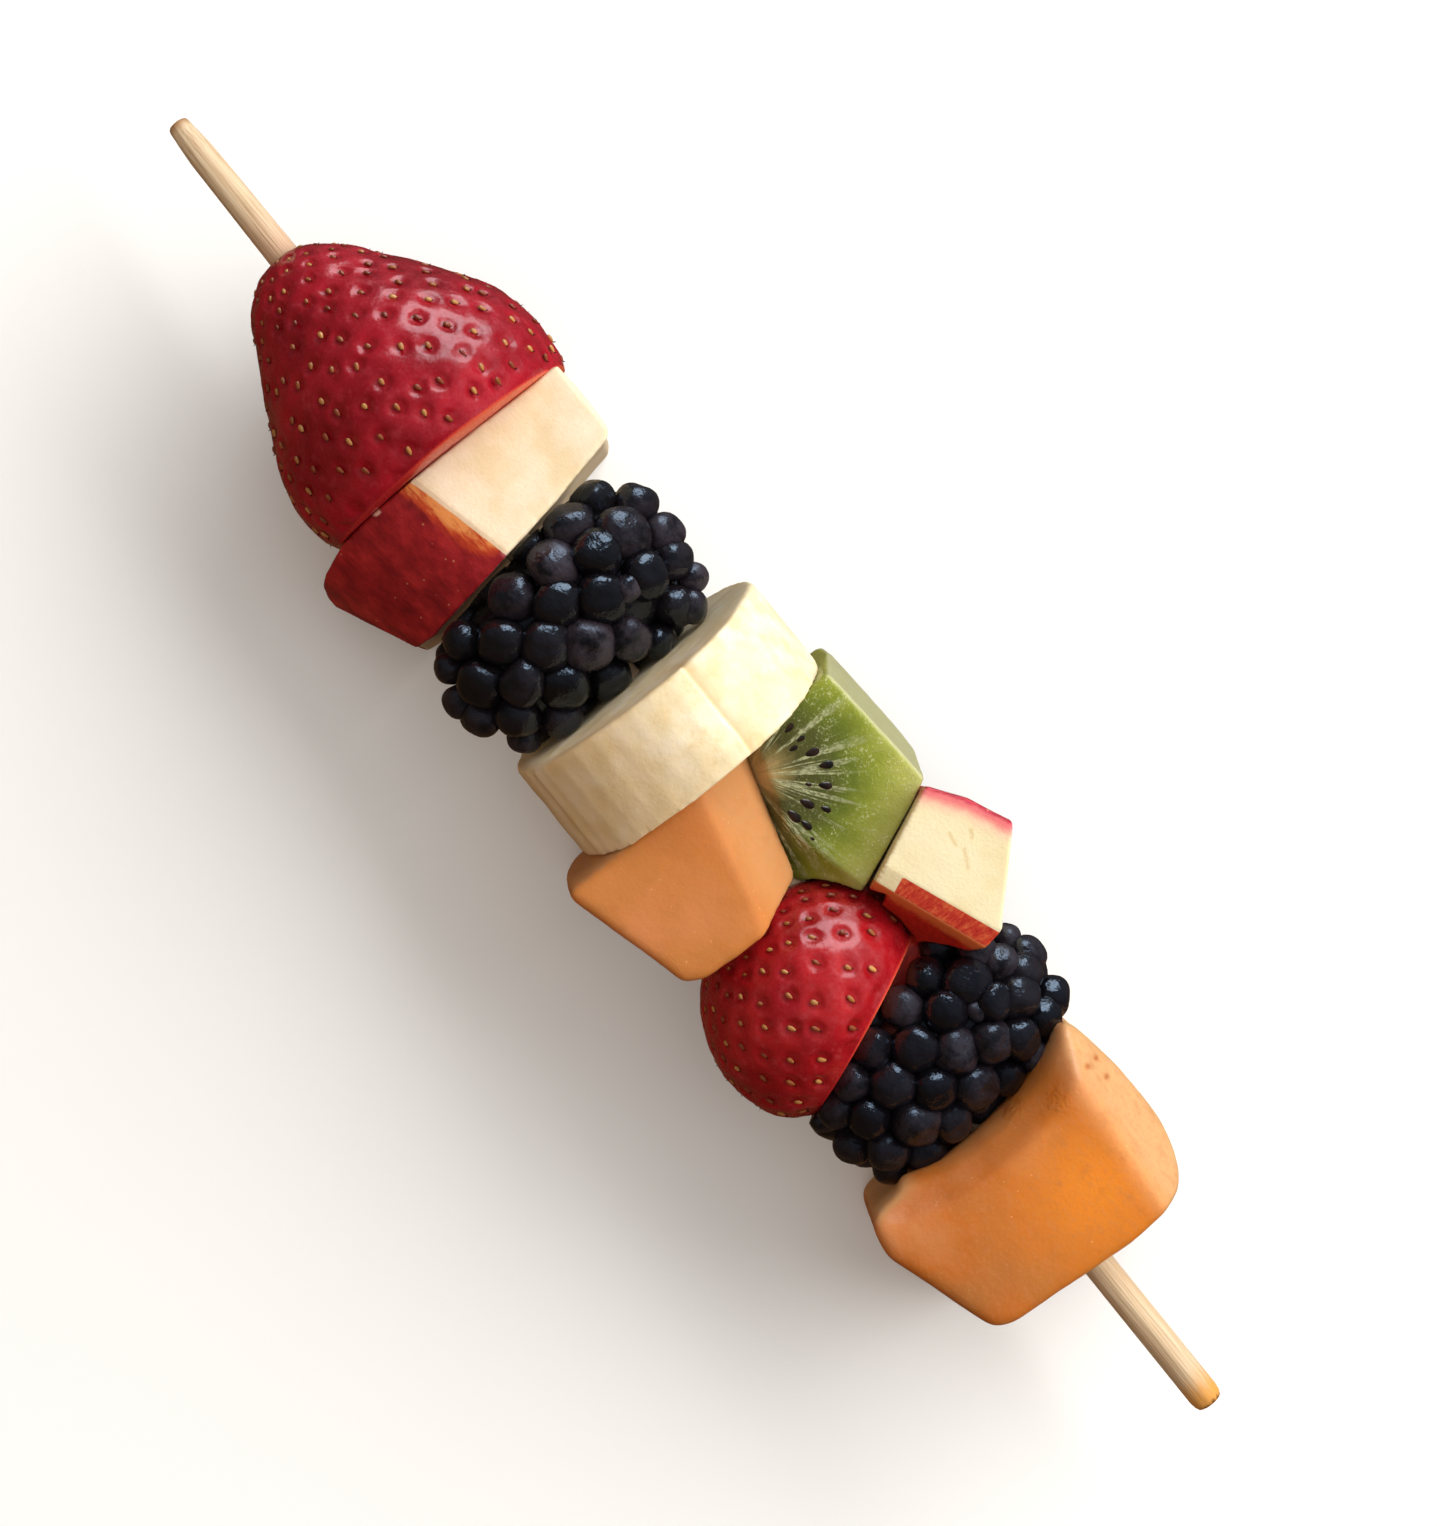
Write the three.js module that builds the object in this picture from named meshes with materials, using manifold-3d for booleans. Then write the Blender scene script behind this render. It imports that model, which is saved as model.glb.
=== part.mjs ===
// A fruit skewer: ten pieces of fresh fruit threaded on a round wooden stick, lying on a table.
//
// Everything is modelled along the stick: x runs from the stick's tapered tip to its blunt end, y
// across it, and z up, all measured in millimetres from the tip and from the stick's centre line.
// The whole group is then placed so that the fruit rests on z = 0 and the model is centred.
import * as THREE from 'three';
import { mergeVertices } from 'three/addons/utils/BufferGeometryUtils.js';
import Module from 'manifold-3d';

const wasm = await Module();
wasm.setup();

// ---------------------------------------------------------------- driving dimensions, mm

const GAP = 0.3; // clearance that neighbouring pieces keep

const STICK_LENGTH = 203; // an eight-inch skewer
const STICK_RADIUS = 2;
const STICK_TIP_RADIUS = 1.35;
const STICK_TAPER = 21;
const STICK_SIDES = 14;
const HOLE_RADIUS = STICK_RADIUS + GAP;

const REST_HEIGHT = 18.5; // the stick's centre line above the table
const MODEL_MIDDLE_Y = 1.35; // half way between the pieces' two outermost points

// The large strawberry is a little bent: its middle lies this far beside the stick at its tip and
// at its cut face, and it is straight from `LARGE_STRAWBERRY_BEND` on.
const LARGE_STRAWBERRY_TIP_SIDESTEP = -0.7;
const LARGE_STRAWBERRY_END_SIDESTEP = 0.45;
const LARGE_STRAWBERRY_BEND = 17;

// Where one piece ends and the next begins, measured on the stick's centre line.
const LARGE_STRAWBERRY_TIP = 21;
const APPLE_SLAB_END = 67.6;
const APPLE_SLAB_SLANT = 0.15; // the slab grows thicker towards its skin
const APPLE_SLAB_TURN = THREE.MathUtils.degToRad(13); // the skin runs askew to the stick
const BANANA_START = 88.4;
const BANANA_END = 101.7;
const BANANA_TILT = THREE.MathUtils.degToRad(11);

const BANANA_RADIUS = 18.5;
const BANANA_CENTRE_Y = 0.8;

const DRUPELET_RADIUS = 3.2;
const DRUPELET_SPACING = 5.65;
const BRAMBLE_UPPER = {
  centre: new THREE.Vector3(77.6, -1, 0),
  half: new THREE.Vector3(12.5, 17.9, 12.6),
  turn: THREE.MathUtils.degToRad(8),
  seed: 3
};
const BRAMBLE_LOWER = {
  centre: new THREE.Vector3(147.2, 1, -0.5),
  half: new THREE.Vector3(11.3, 17.9, 12.2),
  turn: THREE.MathUtils.degToRad(7),
  seed: 11
};

const ACHENE = new THREE.Vector3(0.62, 0.42, 0.34); // half length, half width, half height
const ACHENE_SPACING = 5.3;

// The small strawberry is threaded askew: its own axis, and the middle of its cut face.
const SMALL_STRAWBERRY_AXIS = new THREE.Vector3(0.925, 0.38, 0).normalize();
const SMALL_STRAWBERRY_CUT = new THREE.Vector3(139.3, -4, 0);
const SMALL_STRAWBERRY_LENGTH = 21;

// ---------------------------------------------------------------- solids

const v = (x, y, z) => new THREE.Vector3(x, y, z);

function solidOf(geometry) {
  const bare = geometry.clone();
  bare.deleteAttribute('normal');
  bare.deleteAttribute('uv');
  const merged = mergeVertices(bare, 1e-4);
  return new wasm.Manifold(new wasm.Mesh({
    numProp: 3,
    vertProperties: new Float32Array(merged.attributes.position.array),
    triVerts: new Uint32Array(merged.index.array)
  }));
}

function geometryOf(solid) {
  const mesh = solid.getMesh();
  const geometry = new THREE.BufferGeometry();
  geometry.setAttribute('position', new THREE.BufferAttribute(mesh.vertProperties, 3));
  geometry.setIndex(new THREE.BufferAttribute(mesh.triVerts, 1));
  geometry.computeVertexNormals();
  return geometry;
}

const unite = (solids) => solids.reduce((whole, solid) => whole.add(solid));

// A solid turned about the x axis, from a profile of [x, radius] points that starts and ends at 0.
// `sidestep` gives how far its middle lies beside the axis at each x.
function turned(profile, sides, sidestep = () => 0) {
  const points = profile.map(([x, radius]) => new THREE.Vector2(radius, x));
  const geometry = new THREE.LatheGeometry(points, sides);
  geometry.applyMatrix4(new THREE.Matrix4().makeBasis(v(0, 0, 1), v(1, 0, 0), v(0, 1, 0)));
  const place = geometry.attributes.position;
  for (let k = 0; k < place.count; k += 1) {
    place.setY(k, place.getY(k) + sidestep(place.getX(k)));
  }
  return solidOf(geometry);
}

// A plate with an outline of [x, y] points seen from above, between two heights.
function plate(outline, bottom, top) {
  const shape = new THREE.Shape(outline.map(([x, y]) => new THREE.Vector2(x, y)));
  const geometry = new THREE.ExtrudeGeometry(shape, { depth: top - bottom, bevelEnabled: false });
  return solidOf(geometry.translate(0, 0, bottom));
}

// A bar with an outline of [y, z] points seen along the stick, between two places on it. It may
// lean: `turn` swings it about a vertical line through its start.
function bar(outline, start, end, turn = 0) {
  const shape = new THREE.Shape(outline.map(([y, z]) => new THREE.Vector2(y, z)));
  const geometry = new THREE.ExtrudeGeometry(shape, { depth: end - start, bevelEnabled: false });
  geometry.applyMatrix4(new THREE.Matrix4().makeBasis(v(0, 1, 0), v(0, 0, 1), v(1, 0, 0)));
  geometry.rotateZ(turn);
  return solidOf(geometry.translate(start, 0, 0));
}

const BLADE = 150; // size of the block that a knife cut removes

// Cuts away what lies beyond the plane through `point`, on the side that `normal` points to.
function sliced(solid, point, normal) {
  const block = new THREE.BoxGeometry(BLADE, BLADE, BLADE).translate(0, 0, BLADE / 2);
  const facing = new THREE.Quaternion().setFromUnitVectors(v(0, 0, 1), normal.clone().normalize());
  block.applyQuaternion(facing);
  block.translate(point.x, point.y, point.z);
  return solid.subtract(solidOf(block));
}

// The same cut through three points. What lies above it goes.
function slicedThrough(solid, a, b, c) {
  const { normal } = new THREE.Plane().setFromCoplanarPoints(a, b, c);
  return sliced(solid, a, normal.z > 0 ? normal : normal.negate());
}

const onTable = (solid) => sliced(solid, v(0, 0, -REST_HEIGHT), v(0, 0, -1));

function threaded(solid) {
  const reach = 5;
  const hole = [[-reach, 0], [-reach, HOLE_RADIUS], [STICK_LENGTH + reach, HOLE_RADIUS],
    [STICK_LENGTH + reach, 0]];
  return solid.subtract(turned(hole, STICK_SIDES));
}

// A small repeatable random number source, between -1 and 1.
function dice(seed) {
  let state = seed;
  return () => {
    state = (state * 16807) % 2147483647;
    return (state / 2147483647) * 2 - 1;
  };
}

// ---------------------------------------------------------------- stick

// The tip is blunt and widens quickly at first. The other end is sawn off and its rim is worn round.
function stick() {
  const rim = 0.4;
  const neck = 5;
  const neckRadius = 1.74;
  const worn = 1.4;
  return turned([
    [0, 0],
    [0, STICK_TIP_RADIUS - rim / 2],
    [rim, STICK_TIP_RADIUS],
    [neck, neckRadius],
    [STICK_TAPER, STICK_RADIUS],
    [STICK_LENGTH - worn, STICK_RADIUS],
    [STICK_LENGTH - rim, STICK_RADIUS - worn / 4],
    [STICK_LENGTH, STICK_RADIUS - worn / 2],
    [STICK_LENGTH, 0]
  ], STICK_SIDES);
}

// ---------------------------------------------------------------- strawberries

// Radius of a berry at each distance from its tip, as smooth curves through a few points.
const largeStrawberryProfile = new THREE.SplineCurve([
  new THREE.Vector2(0, 1.2), new THREE.Vector2(0.8, 4.3), new THREE.Vector2(4, 7.9),
  new THREE.Vector2(9, 11.1), new THREE.Vector2(14, 14.4), new THREE.Vector2(19, 17.2),
  new THREE.Vector2(24, 18.8), new THREE.Vector2(28, 19.1), new THREE.Vector2(31.2, 18.7),
  new THREE.Vector2(32.4, 17.8)
]);

const largeStrawberrySidestep = (x) => LARGE_STRAWBERRY_TIP_SIDESTEP
  + (LARGE_STRAWBERRY_END_SIDESTEP - LARGE_STRAWBERRY_TIP_SIDESTEP)
  * THREE.MathUtils.smoothstep(x, 0, LARGE_STRAWBERRY_BEND);

const smallStrawberryProfile = new THREE.SplineCurve([
  new THREE.Vector2(0, 1), new THREE.Vector2(1.2, 4.9), new THREE.Vector2(3.8, 9.4),
  new THREE.Vector2(8.6, 13.7), new THREE.Vector2(14.5, 15.4), new THREE.Vector2(18.5, 14.9),
  new THREE.Vector2(SMALL_STRAWBERRY_LENGTH, 12.9)
]);

function berryBody(profile, steps, sides, swell = 0, sidestep = () => 0) {
  const points = profile.getSpacedPoints(steps).map((p) => [p.x, p.y + swell]);
  const first = points[0];
  const last = points[points.length - 1];
  first[0] -= swell;
  last[0] += swell;
  return turned([[first[0], 0], ...points, [last[0], 0]], sides, sidestep);
}

const FIRST_ACHENE_RING = 2; // the tip itself is bare
const ROW_PITCH = Math.sqrt(3) / 2; // distance between rows of evenly packed places

// Achenes stand in rings round the berry, each ring half a place on from the one before.
function achenes(profile, hiddenPart, sidestep = () => 0) {
  const rings = Math.round(profile.getLength() / (ACHENE_SPACING * ROW_PITCH));
  const seeds = [];
  for (let ring = FIRST_ACHENE_RING; ring < rings; ring += 1) {
    const along = ring / rings;
    const place = profile.getPointAt(along);
    const slope = profile.getTangentAt(along);
    const count = Math.max(5, Math.round((2 * Math.PI * place.y) / ACHENE_SPACING));
    for (let k = 0; k < count; k += 1) {
      const angle = (2 * Math.PI * (k + (ring % 2) / 2)) / count;
      const outward = v(0, Math.sin(angle), Math.cos(angle));
      const centre = v(place.x, sidestep(place.x), 0).addScaledVector(outward, place.y);
      const forward = v(slope.x, 0, 0).addScaledVector(outward, slope.y).normalize();
      const sideways = new THREE.Vector3().crossVectors(v(1, 0, 0), outward);
      const up = new THREE.Vector3().crossVectors(forward, sideways);
      if (hiddenPart(centre)) continue;
      const seed = new THREE.OctahedronGeometry(1).scale(ACHENE.x, ACHENE.y, ACHENE.z);
      seed.applyMatrix4(new THREE.Matrix4().makeBasis(forward, sideways, up));
      seeds.push(solidOf(seed.translate(centre.x, centre.y, centre.z)));
    }
  }
  return seeds;
}

function strawberryLarge() {
  const flattened = 4; // height above the table up to which the berry has no achenes
  const rim = 31;
  const underside = (p) => p.z < -REST_HEIGHT + flattened || p.x > rim;
  const body = berryBody(largeStrawberryProfile, 13, 26, 0, largeStrawberrySidestep);
  const berry = unite([body, ...achenes(largeStrawberryProfile, underside, largeStrawberrySidestep)]);
  return threaded(onTable(berry.translate(LARGE_STRAWBERRY_TIP, 0, 0)));
}

function placeSmallStrawberry(solid) {
  const start = SMALL_STRAWBERRY_CUT.clone()
    .addScaledVector(SMALL_STRAWBERRY_AXIS, -SMALL_STRAWBERRY_LENGTH);
  const turn = THREE.MathUtils.radToDeg(Math.atan2(SMALL_STRAWBERRY_AXIS.y, SMALL_STRAWBERRY_AXIS.x));
  return solid.rotate(0, 0, turn).translate(start.x, start.y, start.z);
}

function smallStrawberryBody(swell) {
  return placeSmallStrawberry(berryBody(smallStrawberryProfile, 10, 22, swell));
}

function strawberrySmall() {
  const [tip, rim] = [5, SMALL_STRAWBERRY_LENGTH - 1.5];
  const tipOrRim = (p) => p.x < tip || p.x > rim;
  const body = berryBody(smallStrawberryProfile, 10, 22);
  const berry = unite([body, ...achenes(smallStrawberryProfile, tipOrRim)]);
  return threaded(placeSmallStrawberry(berry));
}

// ---------------------------------------------------------------- brambles

// A bramble is a core covered with round drupelets. They stand in rings about its long axis, each
// ring shifted by half a place, and each drupelet differs a little in size.
const DRUPELET_SIDES = 7;
const DRUPELET_VARIATION = 0.06;
const CORE_SWELL = 0.3; // the core's surface lies this far outside the drupelets' centres
const BERRY_FULLNESS = 3; // 2 would give a berry's outline the ends of an ellipse; more, blunter ends

// Outline of a berry from end to end of its long axis: (girth, place along it), both up to 1.
function berryOutline(steps) {
  const blunt = (part) => Math.sign(part) * Math.abs(part) ** (2 / BERRY_FULLNESS);
  const points = [];
  for (let k = 0; k <= steps; k += 1) {
    const latitude = Math.PI * (k / steps - 0.5);
    points.push(new THREE.Vector2(blunt(Math.cos(latitude)), blunt(Math.sin(latitude))));
  }
  return points;
}

function bramble({ centre, half, turn, seed }) {
  const random = dice(seed);
  const shell = half.clone().subScalar(DRUPELET_RADIUS);
  const core = new THREE.LatheGeometry(berryOutline(8), 12);
  core.scale(shell.x + CORE_SWELL, shell.y + CORE_SWELL, shell.z + CORE_SWELL);
  const parts = [solidOf(core)];
  const girth = (shell.x + shell.z) / 2;
  const side = new THREE.SplineCurve(
    berryOutline(40).map((p) => new THREE.Vector2(p.x * girth, p.y * shell.y))
  );
  const rings = Math.round(side.getLength() / (DRUPELET_SPACING * ROW_PITCH));
  for (const [ring, spot] of side.getSpacedPoints(rings).entries()) {
    const width = spot.x / girth;
    const count = Math.max(1, Math.round((2 * Math.PI * spot.x) / DRUPELET_SPACING));
    for (let k = 0; k < count; k += 1) {
      const angle = (2 * Math.PI * (k + (ring % 2) / 2)) / count + DRUPELET_VARIATION * random();
      const across = v(width * Math.sin(angle), spot.y / shell.y, width * Math.cos(angle));
      const outward = across.clone().divide(shell).normalize();
      const radius = DRUPELET_RADIUS * (1 - DRUPELET_VARIATION * (1 - random()));
      const grain = new THREE.SphereGeometry(radius, DRUPELET_SIDES, 3);
      grain.applyQuaternion(new THREE.Quaternion().setFromUnitVectors(v(0, 1, 0), outward));
      const place = across.multiply(shell);
      parts.push(solidOf(grain.translate(place.x, place.y, place.z)));
    }
  }
  const berry = unite(parts).rotate(0, 0, THREE.MathUtils.radToDeg(turn));
  return berry.translate(centre.x, centre.y, centre.z);
}

// The room that a bramble needs, for the pieces that it nestles against.
function brambleHollow({ centre, half, turn }) {
  const hollow = new THREE.LatheGeometry(berryOutline(16), 24);
  hollow.scale(half.x + GAP, half.y + GAP, half.z + GAP);
  hollow.rotateZ(turn);
  return solidOf(hollow.translate(centre.x, centre.y, centre.z));
}

function brambleUpper() {
  const afterSlab = v(APPLE_SLAB_END + GAP, 0, 0);
  const berry = sliced(bramble(BRAMBLE_UPPER), afterSlab, v(-1, -APPLE_SLAB_SLANT, 0));
  return threaded(beforeBanana(berry));
}

function brambleLower() {
  const cutFace = SMALL_STRAWBERRY_CUT.clone().addScaledVector(SMALL_STRAWBERRY_AXIS, GAP);
  const berry = sliced(bramble(BRAMBLE_LOWER), cutFace, SMALL_STRAWBERRY_AXIS.clone().negate());
  return threaded(berry.subtract(appleToe(GAP)));
}

// ---------------------------------------------------------------- apple

const APPLE_SLAB_OUTLINE = [
  [53.7, -10], [53.9, -18.8], [55.3, -21.8], [57.2, -22.6], [69, -17.3], [70, -14], [68.3, -1.7],
  [66.1, 9.3], [64.6, 16.6], [63.6, 17.5], [59.6, 17.6], [53.7, 17.3]
];

function appleSlab() {
  // Seen along the stick: a flat cut on top, and the curved skin on the left.
  const skin = new THREE.QuadraticBezierCurve(
    new THREE.Vector2(-5.2, 10.8), new THREE.Vector2(-20, 7.5), new THREE.Vector2(-24.5, -9)
  ).getPoints(10).map((p) => [p.x, p.y]);
  const section = [...skin, [-22, -15.5], [-17, -REST_HEIGHT], [13, -REST_HEIGHT], [17.6, -15.5],
    [17.6, 8.6]].reverse();
  const [start, end] = [50, 72];
  const round = bar(section, start, end, APPLE_SLAB_TURN);
  const slab = round.intersect(plate(APPLE_SLAB_OUTLINE, -REST_HEIGHT, 15));
  return threaded(sliced(slab, v(APPLE_SLAB_END, 0, 0), v(1, APPLE_SLAB_SLANT, 0)));
}

const APPLE_CHUNK_OUTLINE = [
  [121.5, 20], [127, 7.3], [128.9, 8.6], [130.2, 5.4], [138.6, 8.4], [140.9, 13.5], [140.4, 16.2],
  [137.8, 18.8], [131.8, 24.8], [131.1, 25.3], [125.8, 23]
];

// The chunk's toe reaches down between the strawberry and the bramble, where the stick holds it.
// It is a thin wedge that lies along the strawberry's cut face.
function appleToe(swell) {
  const [thickness, low, high, bottom, top] = [3.3, -6.5, 14, -7.5, 3.4];
  const outline = [
    [GAP - swell, low - swell], [GAP + thickness + swell, low - swell],
    [GAP + thickness + swell, high + swell], [GAP - swell, high + swell]
  ];
  const toe = plate(outline, bottom - swell, top + swell);
  const { x, y } = SMALL_STRAWBERRY_AXIS;
  const crossing = SMALL_STRAWBERRY_CUT.x + (SMALL_STRAWBERRY_CUT.y * y) / x;
  return toe.rotate(0, 0, THREE.MathUtils.radToDeg(Math.atan2(y, x))).translate(crossing, 0, 0);
}

function appleChunk() {
  // The strip of skin slopes gently down from the top, and a steep face lies below it.
  const [top, brink, foot] = [13, 12.2, 4];
  let block = plate(APPLE_CHUNK_OUTLINE, -6, top).subtract(brambleHollow(BRAMBLE_LOWER));
  block = slicedThrough(block, v(128, 11.2, top), v(140.3, 16, top), v(128.9, 9.1, brink));
  block = slicedThrough(block, v(128.9, 9.1, brink), v(140.9, 13.5, brink), v(130.3, 5.6, foot));
  return threaded(block.subtract(smallStrawberryBody(0.7)).add(appleToe(0)));
}

// ---------------------------------------------------------------- banana

function beforeBanana(solid) {
  return sliced(solid, v(BANANA_START - GAP, 0, 0), v(1, 0, -Math.tan(BANANA_TILT)));
}

function afterBanana(solid) {
  return sliced(solid, v(BANANA_END + GAP, 0, 0), v(-1, 0, Math.tan(BANANA_TILT)));
}

function banana() {
  // A slice across the fruit: nearly round, with the five soft corners of a peeled banana.
  const steps = 40;
  const outline = [];
  for (let k = 0; k < steps; k += 1) {
    const angle = (2 * Math.PI * k) / steps;
    const radius = BANANA_RADIUS * (1 + 0.018 * Math.cos(5 * angle + 0.6));
    outline.push([BANANA_CENTRE_Y + radius * Math.cos(angle), radius * Math.sin(angle)]);
  }
  const slant = BANANA_RADIUS * Math.tan(BANANA_TILT) + 1;
  const log = bar(outline, BANANA_START - slant, BANANA_END + slant);
  const start = v(BANANA_START, 0, 0);
  const end = v(BANANA_END, 0, 0);
  const slice = sliced(log, start, v(-1, 0, Math.tan(BANANA_TILT)));
  return threaded(onTable(sliced(slice, end, v(1, 0, -Math.tan(BANANA_TILT)))));
}

// ---------------------------------------------------------------- melon and kiwi

// The middle melon chunk and the kiwi lie side by side. The stick passes through the melon first
// and then the kiwi, on either side of this slanted plane.
const BESIDE_MELON_POINT = v(110.6, 0, 0);
const BESIDE_MELON_NORMAL = v(0.344, 1, -0.71).normalize();

const MELON_MIDDLE_OUTLINE = [
  [98, -15.8], [101.6, -16], [101.8, -19.3], [102.6, -20.9], [104.6, -21.3], [121, -17.2], [122.2, -15],
  [123.2, -1.9], [122.6, -0.3], [119.5, 2.4], [115.7, 4.6], [110, 5.8], [98, 6.3]
];

function melonMiddle() {
  let chunk = plate(MELON_MIDDLE_OUTLINE, -15, 13.2);
  chunk = slicedThrough(chunk, v(104.3, 6.2, 4.4), v(119.5, 2.5, 4.4), v(112, -3.4, 13.3));
  chunk = sliced(chunk, v(117.6, 0, 0), v(1, 0, -0.4));
  chunk = sliced(chunk, BESIDE_MELON_POINT, BESIDE_MELON_NORMAL);
  return threaded(afterBanana(chunk));
}

const KIWI_OUTLINE = [
  [98, 18], [100.5, 21.5], [103.2, 21.8], [113.3, 22.1], [117.3, 22], [120.4, 20.6],
  [122.2, 16.6], [125.7, 7.8], [126.4, 6], [126.8, -9], [98, -9]
];

function kiwiChunk() {
  const [bottom, top] = [-9.5, 7.4];
  let chunk = plate(KIWI_OUTLINE, bottom, top);
  const apart = BESIDE_MELON_POINT.clone().addScaledVector(BESIDE_MELON_NORMAL, GAP);
  chunk = sliced(chunk, apart, BESIDE_MELON_NORMAL.clone().negate());
  chunk = slicedThrough(chunk, v(117.2, 4.7, top), v(126.4, 7, top), v(119.6, 2.2, top - 3.4));
  chunk = slicedThrough(chunk, v(101, 19.2, top), v(119, 20.4, top), v(119, 22, 0));
  return threaded(afterBanana(chunk).subtract(smallStrawberryBody(0.7)));
}

const MELON_END_OUTLINE = [
  [153.6, 14], [154.4, 15.3], [156.6, 15.9], [163.6, 16.8], [168, 16.9], [171.6, 16.7], [174.6, 16],
  [177, 14.8], [178.8, 13.1], [179, 5.2], [178.6, -2], [177.6, -12.4], [176.6, -14.4],
  [162.4, -18.9], [160.6, -18.6], [158.7, -18.1], [157.7, -17.2], [157.6, -13.2], [154, -10]
];

// The brink of the pocket that the bramble sits in is rounded off in two steps. Each step is a
// funnel over the berry: its lower and upper height, and how wide it is there beside the berry.
const POCKET_BRINK = [
  { heights: [4, 9.5], widths: [0.94, 1.08] },
  { heights: [9.5, 13.4], widths: [1.08, 1.4] }
];
const BRINK_LENGTH = 19;

function pocketFunnel({ centre, half, turn }, { heights: [low, high], widths: [narrow, wide] }) {
  const funnel = new THREE.CylinderGeometry(wide, narrow, high - low, 24);
  funnel.rotateX(Math.PI / 2);
  funnel.scale(half.x, BRINK_LENGTH, 1);
  funnel.rotateZ(turn);
  return solidOf(funnel.translate(centre.x, centre.y, (low + high) / 2));
}

function melonEnd() {
  let chunk = plate(MELON_END_OUTLINE, -REST_HEIGHT, 13);
  chunk = slicedThrough(chunk, v(156, 12.6, 13.1), v(178, 10.6, 13.1), v(170, 17, 3));
  chunk = chunk.subtract(brambleHollow(BRAMBLE_LOWER));
  for (const step of POCKET_BRINK) {
    chunk = chunk.subtract(pocketFunnel(BRAMBLE_LOWER, step));
  }
  return threaded(chunk);
}

// ---------------------------------------------------------------- the skewer

const skewer = new THREE.Group();
skewer.position.set(-STICK_LENGTH / 2, -MODEL_MIDDLE_Y, REST_HEIGHT);

function place(name, solid, color, roughness) {
  const material = new THREE.MeshStandardMaterial({ color, roughness, metalness: 0 });
  const mesh = new THREE.Mesh(geometryOf(solid), material);
  mesh.name = name;
  skewer.add(mesh);
}

place('skewer_stick', stick(), 0xe3c79b, 0.7);
place('strawberry_large', strawberryLarge(), 0x9c1620, 0.35);
place('apple_slab', appleSlab(), 0xf0e2b4, 0.5);
place('bramble_upper', brambleUpper(), 0x15151c, 0.3);
place('banana_slice', banana(), 0xf6edd0, 0.55);
place('melon_middle', melonMiddle(), 0xe28a3e, 0.4);
place('kiwi_chunk', kiwiChunk(), 0x8ba337, 0.4);
place('strawberry_small', strawberrySmall(), 0xb01a1f, 0.35);
place('apple_chunk', appleChunk(), 0xf0e2b4, 0.5);
place('bramble_lower', brambleLower(), 0x15151c, 0.3);
place('melon_end', melonEnd(), 0xee9e54, 0.4);

const model = new THREE.Group();
model.add(skewer);

export default model;
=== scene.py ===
"""Looks of the fruit skewer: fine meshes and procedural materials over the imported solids.

Shapes are worked out in the skewer's own frame, in millimetres: s runs along the stick from its
tapered tip, t across it, and z up from its centre line. to_model() turns that into the model's
frame, in metres.
"""

import math
import random

import bpy
import numpy as np
from mathutils import Matrix, Vector, kdtree, noise


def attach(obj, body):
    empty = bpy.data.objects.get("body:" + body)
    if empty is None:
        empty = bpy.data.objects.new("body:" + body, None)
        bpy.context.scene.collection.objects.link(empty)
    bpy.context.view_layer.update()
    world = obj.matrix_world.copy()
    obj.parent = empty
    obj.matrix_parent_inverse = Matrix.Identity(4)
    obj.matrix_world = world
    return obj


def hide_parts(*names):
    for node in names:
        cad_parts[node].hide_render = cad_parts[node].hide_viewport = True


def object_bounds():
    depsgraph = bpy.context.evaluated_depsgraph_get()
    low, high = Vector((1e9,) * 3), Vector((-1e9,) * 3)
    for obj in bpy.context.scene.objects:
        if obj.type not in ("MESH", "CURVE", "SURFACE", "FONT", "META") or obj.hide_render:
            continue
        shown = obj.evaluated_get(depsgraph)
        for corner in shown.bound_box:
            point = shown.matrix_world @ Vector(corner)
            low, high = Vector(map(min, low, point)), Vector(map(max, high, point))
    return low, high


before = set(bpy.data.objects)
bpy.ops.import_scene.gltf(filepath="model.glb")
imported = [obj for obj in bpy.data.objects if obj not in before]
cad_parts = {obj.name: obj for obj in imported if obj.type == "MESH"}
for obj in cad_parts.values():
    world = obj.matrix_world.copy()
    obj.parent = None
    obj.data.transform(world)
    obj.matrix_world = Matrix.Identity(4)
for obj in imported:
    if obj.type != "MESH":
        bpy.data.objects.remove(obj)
cad_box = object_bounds()

MM = 0.001

# The skewer's frame, as the solids have it.
STICK_LENGTH = 203.0
MODEL_MIDDLE_T = 1.35
REST_HEIGHT = 18.5

HOLE_RADIUS = 2.25  # a little less than that of the solids
EVEN = (1.0, 1.0, 1.0)  # no stretch

SKEWER_ORIGIN = np.array([-STICK_LENGTH / 2, -MODEL_MIDDLE_T, REST_HEIGHT])


def to_model(points):
    """Points of the skewer's frame, in mm, in the model's frame, in metres."""
    return (np.asarray(points, float) + SKEWER_ORIGIN) * MM


def to_skewer(points):
    """The other way round."""
    return np.asarray(points, float) / MM - SKEWER_ORIGIN


# ---- camera, light and floor

CAMERA_PLACE = (103.4, 2.4, 420.0)
CAMERA_ROLL = math.radians(51.05)
CAMERA_LENS = 80.25
CAMERA_SENSOR = 36.0


def add_object(name, data):
    thing = bpy.data.objects.new(name, data)
    bpy.context.scene.collection.objects.link(thing)
    return thing


def add_camera():
    data = bpy.data.cameras.new("camera")
    data.lens = CAMERA_LENS
    data.sensor_width = CAMERA_SENSOR
    data.clip_start = 0.01
    data.clip_end = 20.0
    camera = add_object("camera", data)
    camera.location = to_model(CAMERA_PLACE)
    camera.rotation_euler = (0.0, 0.0, CAMERA_ROLL)
    bpy.context.scene.camera = camera


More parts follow.
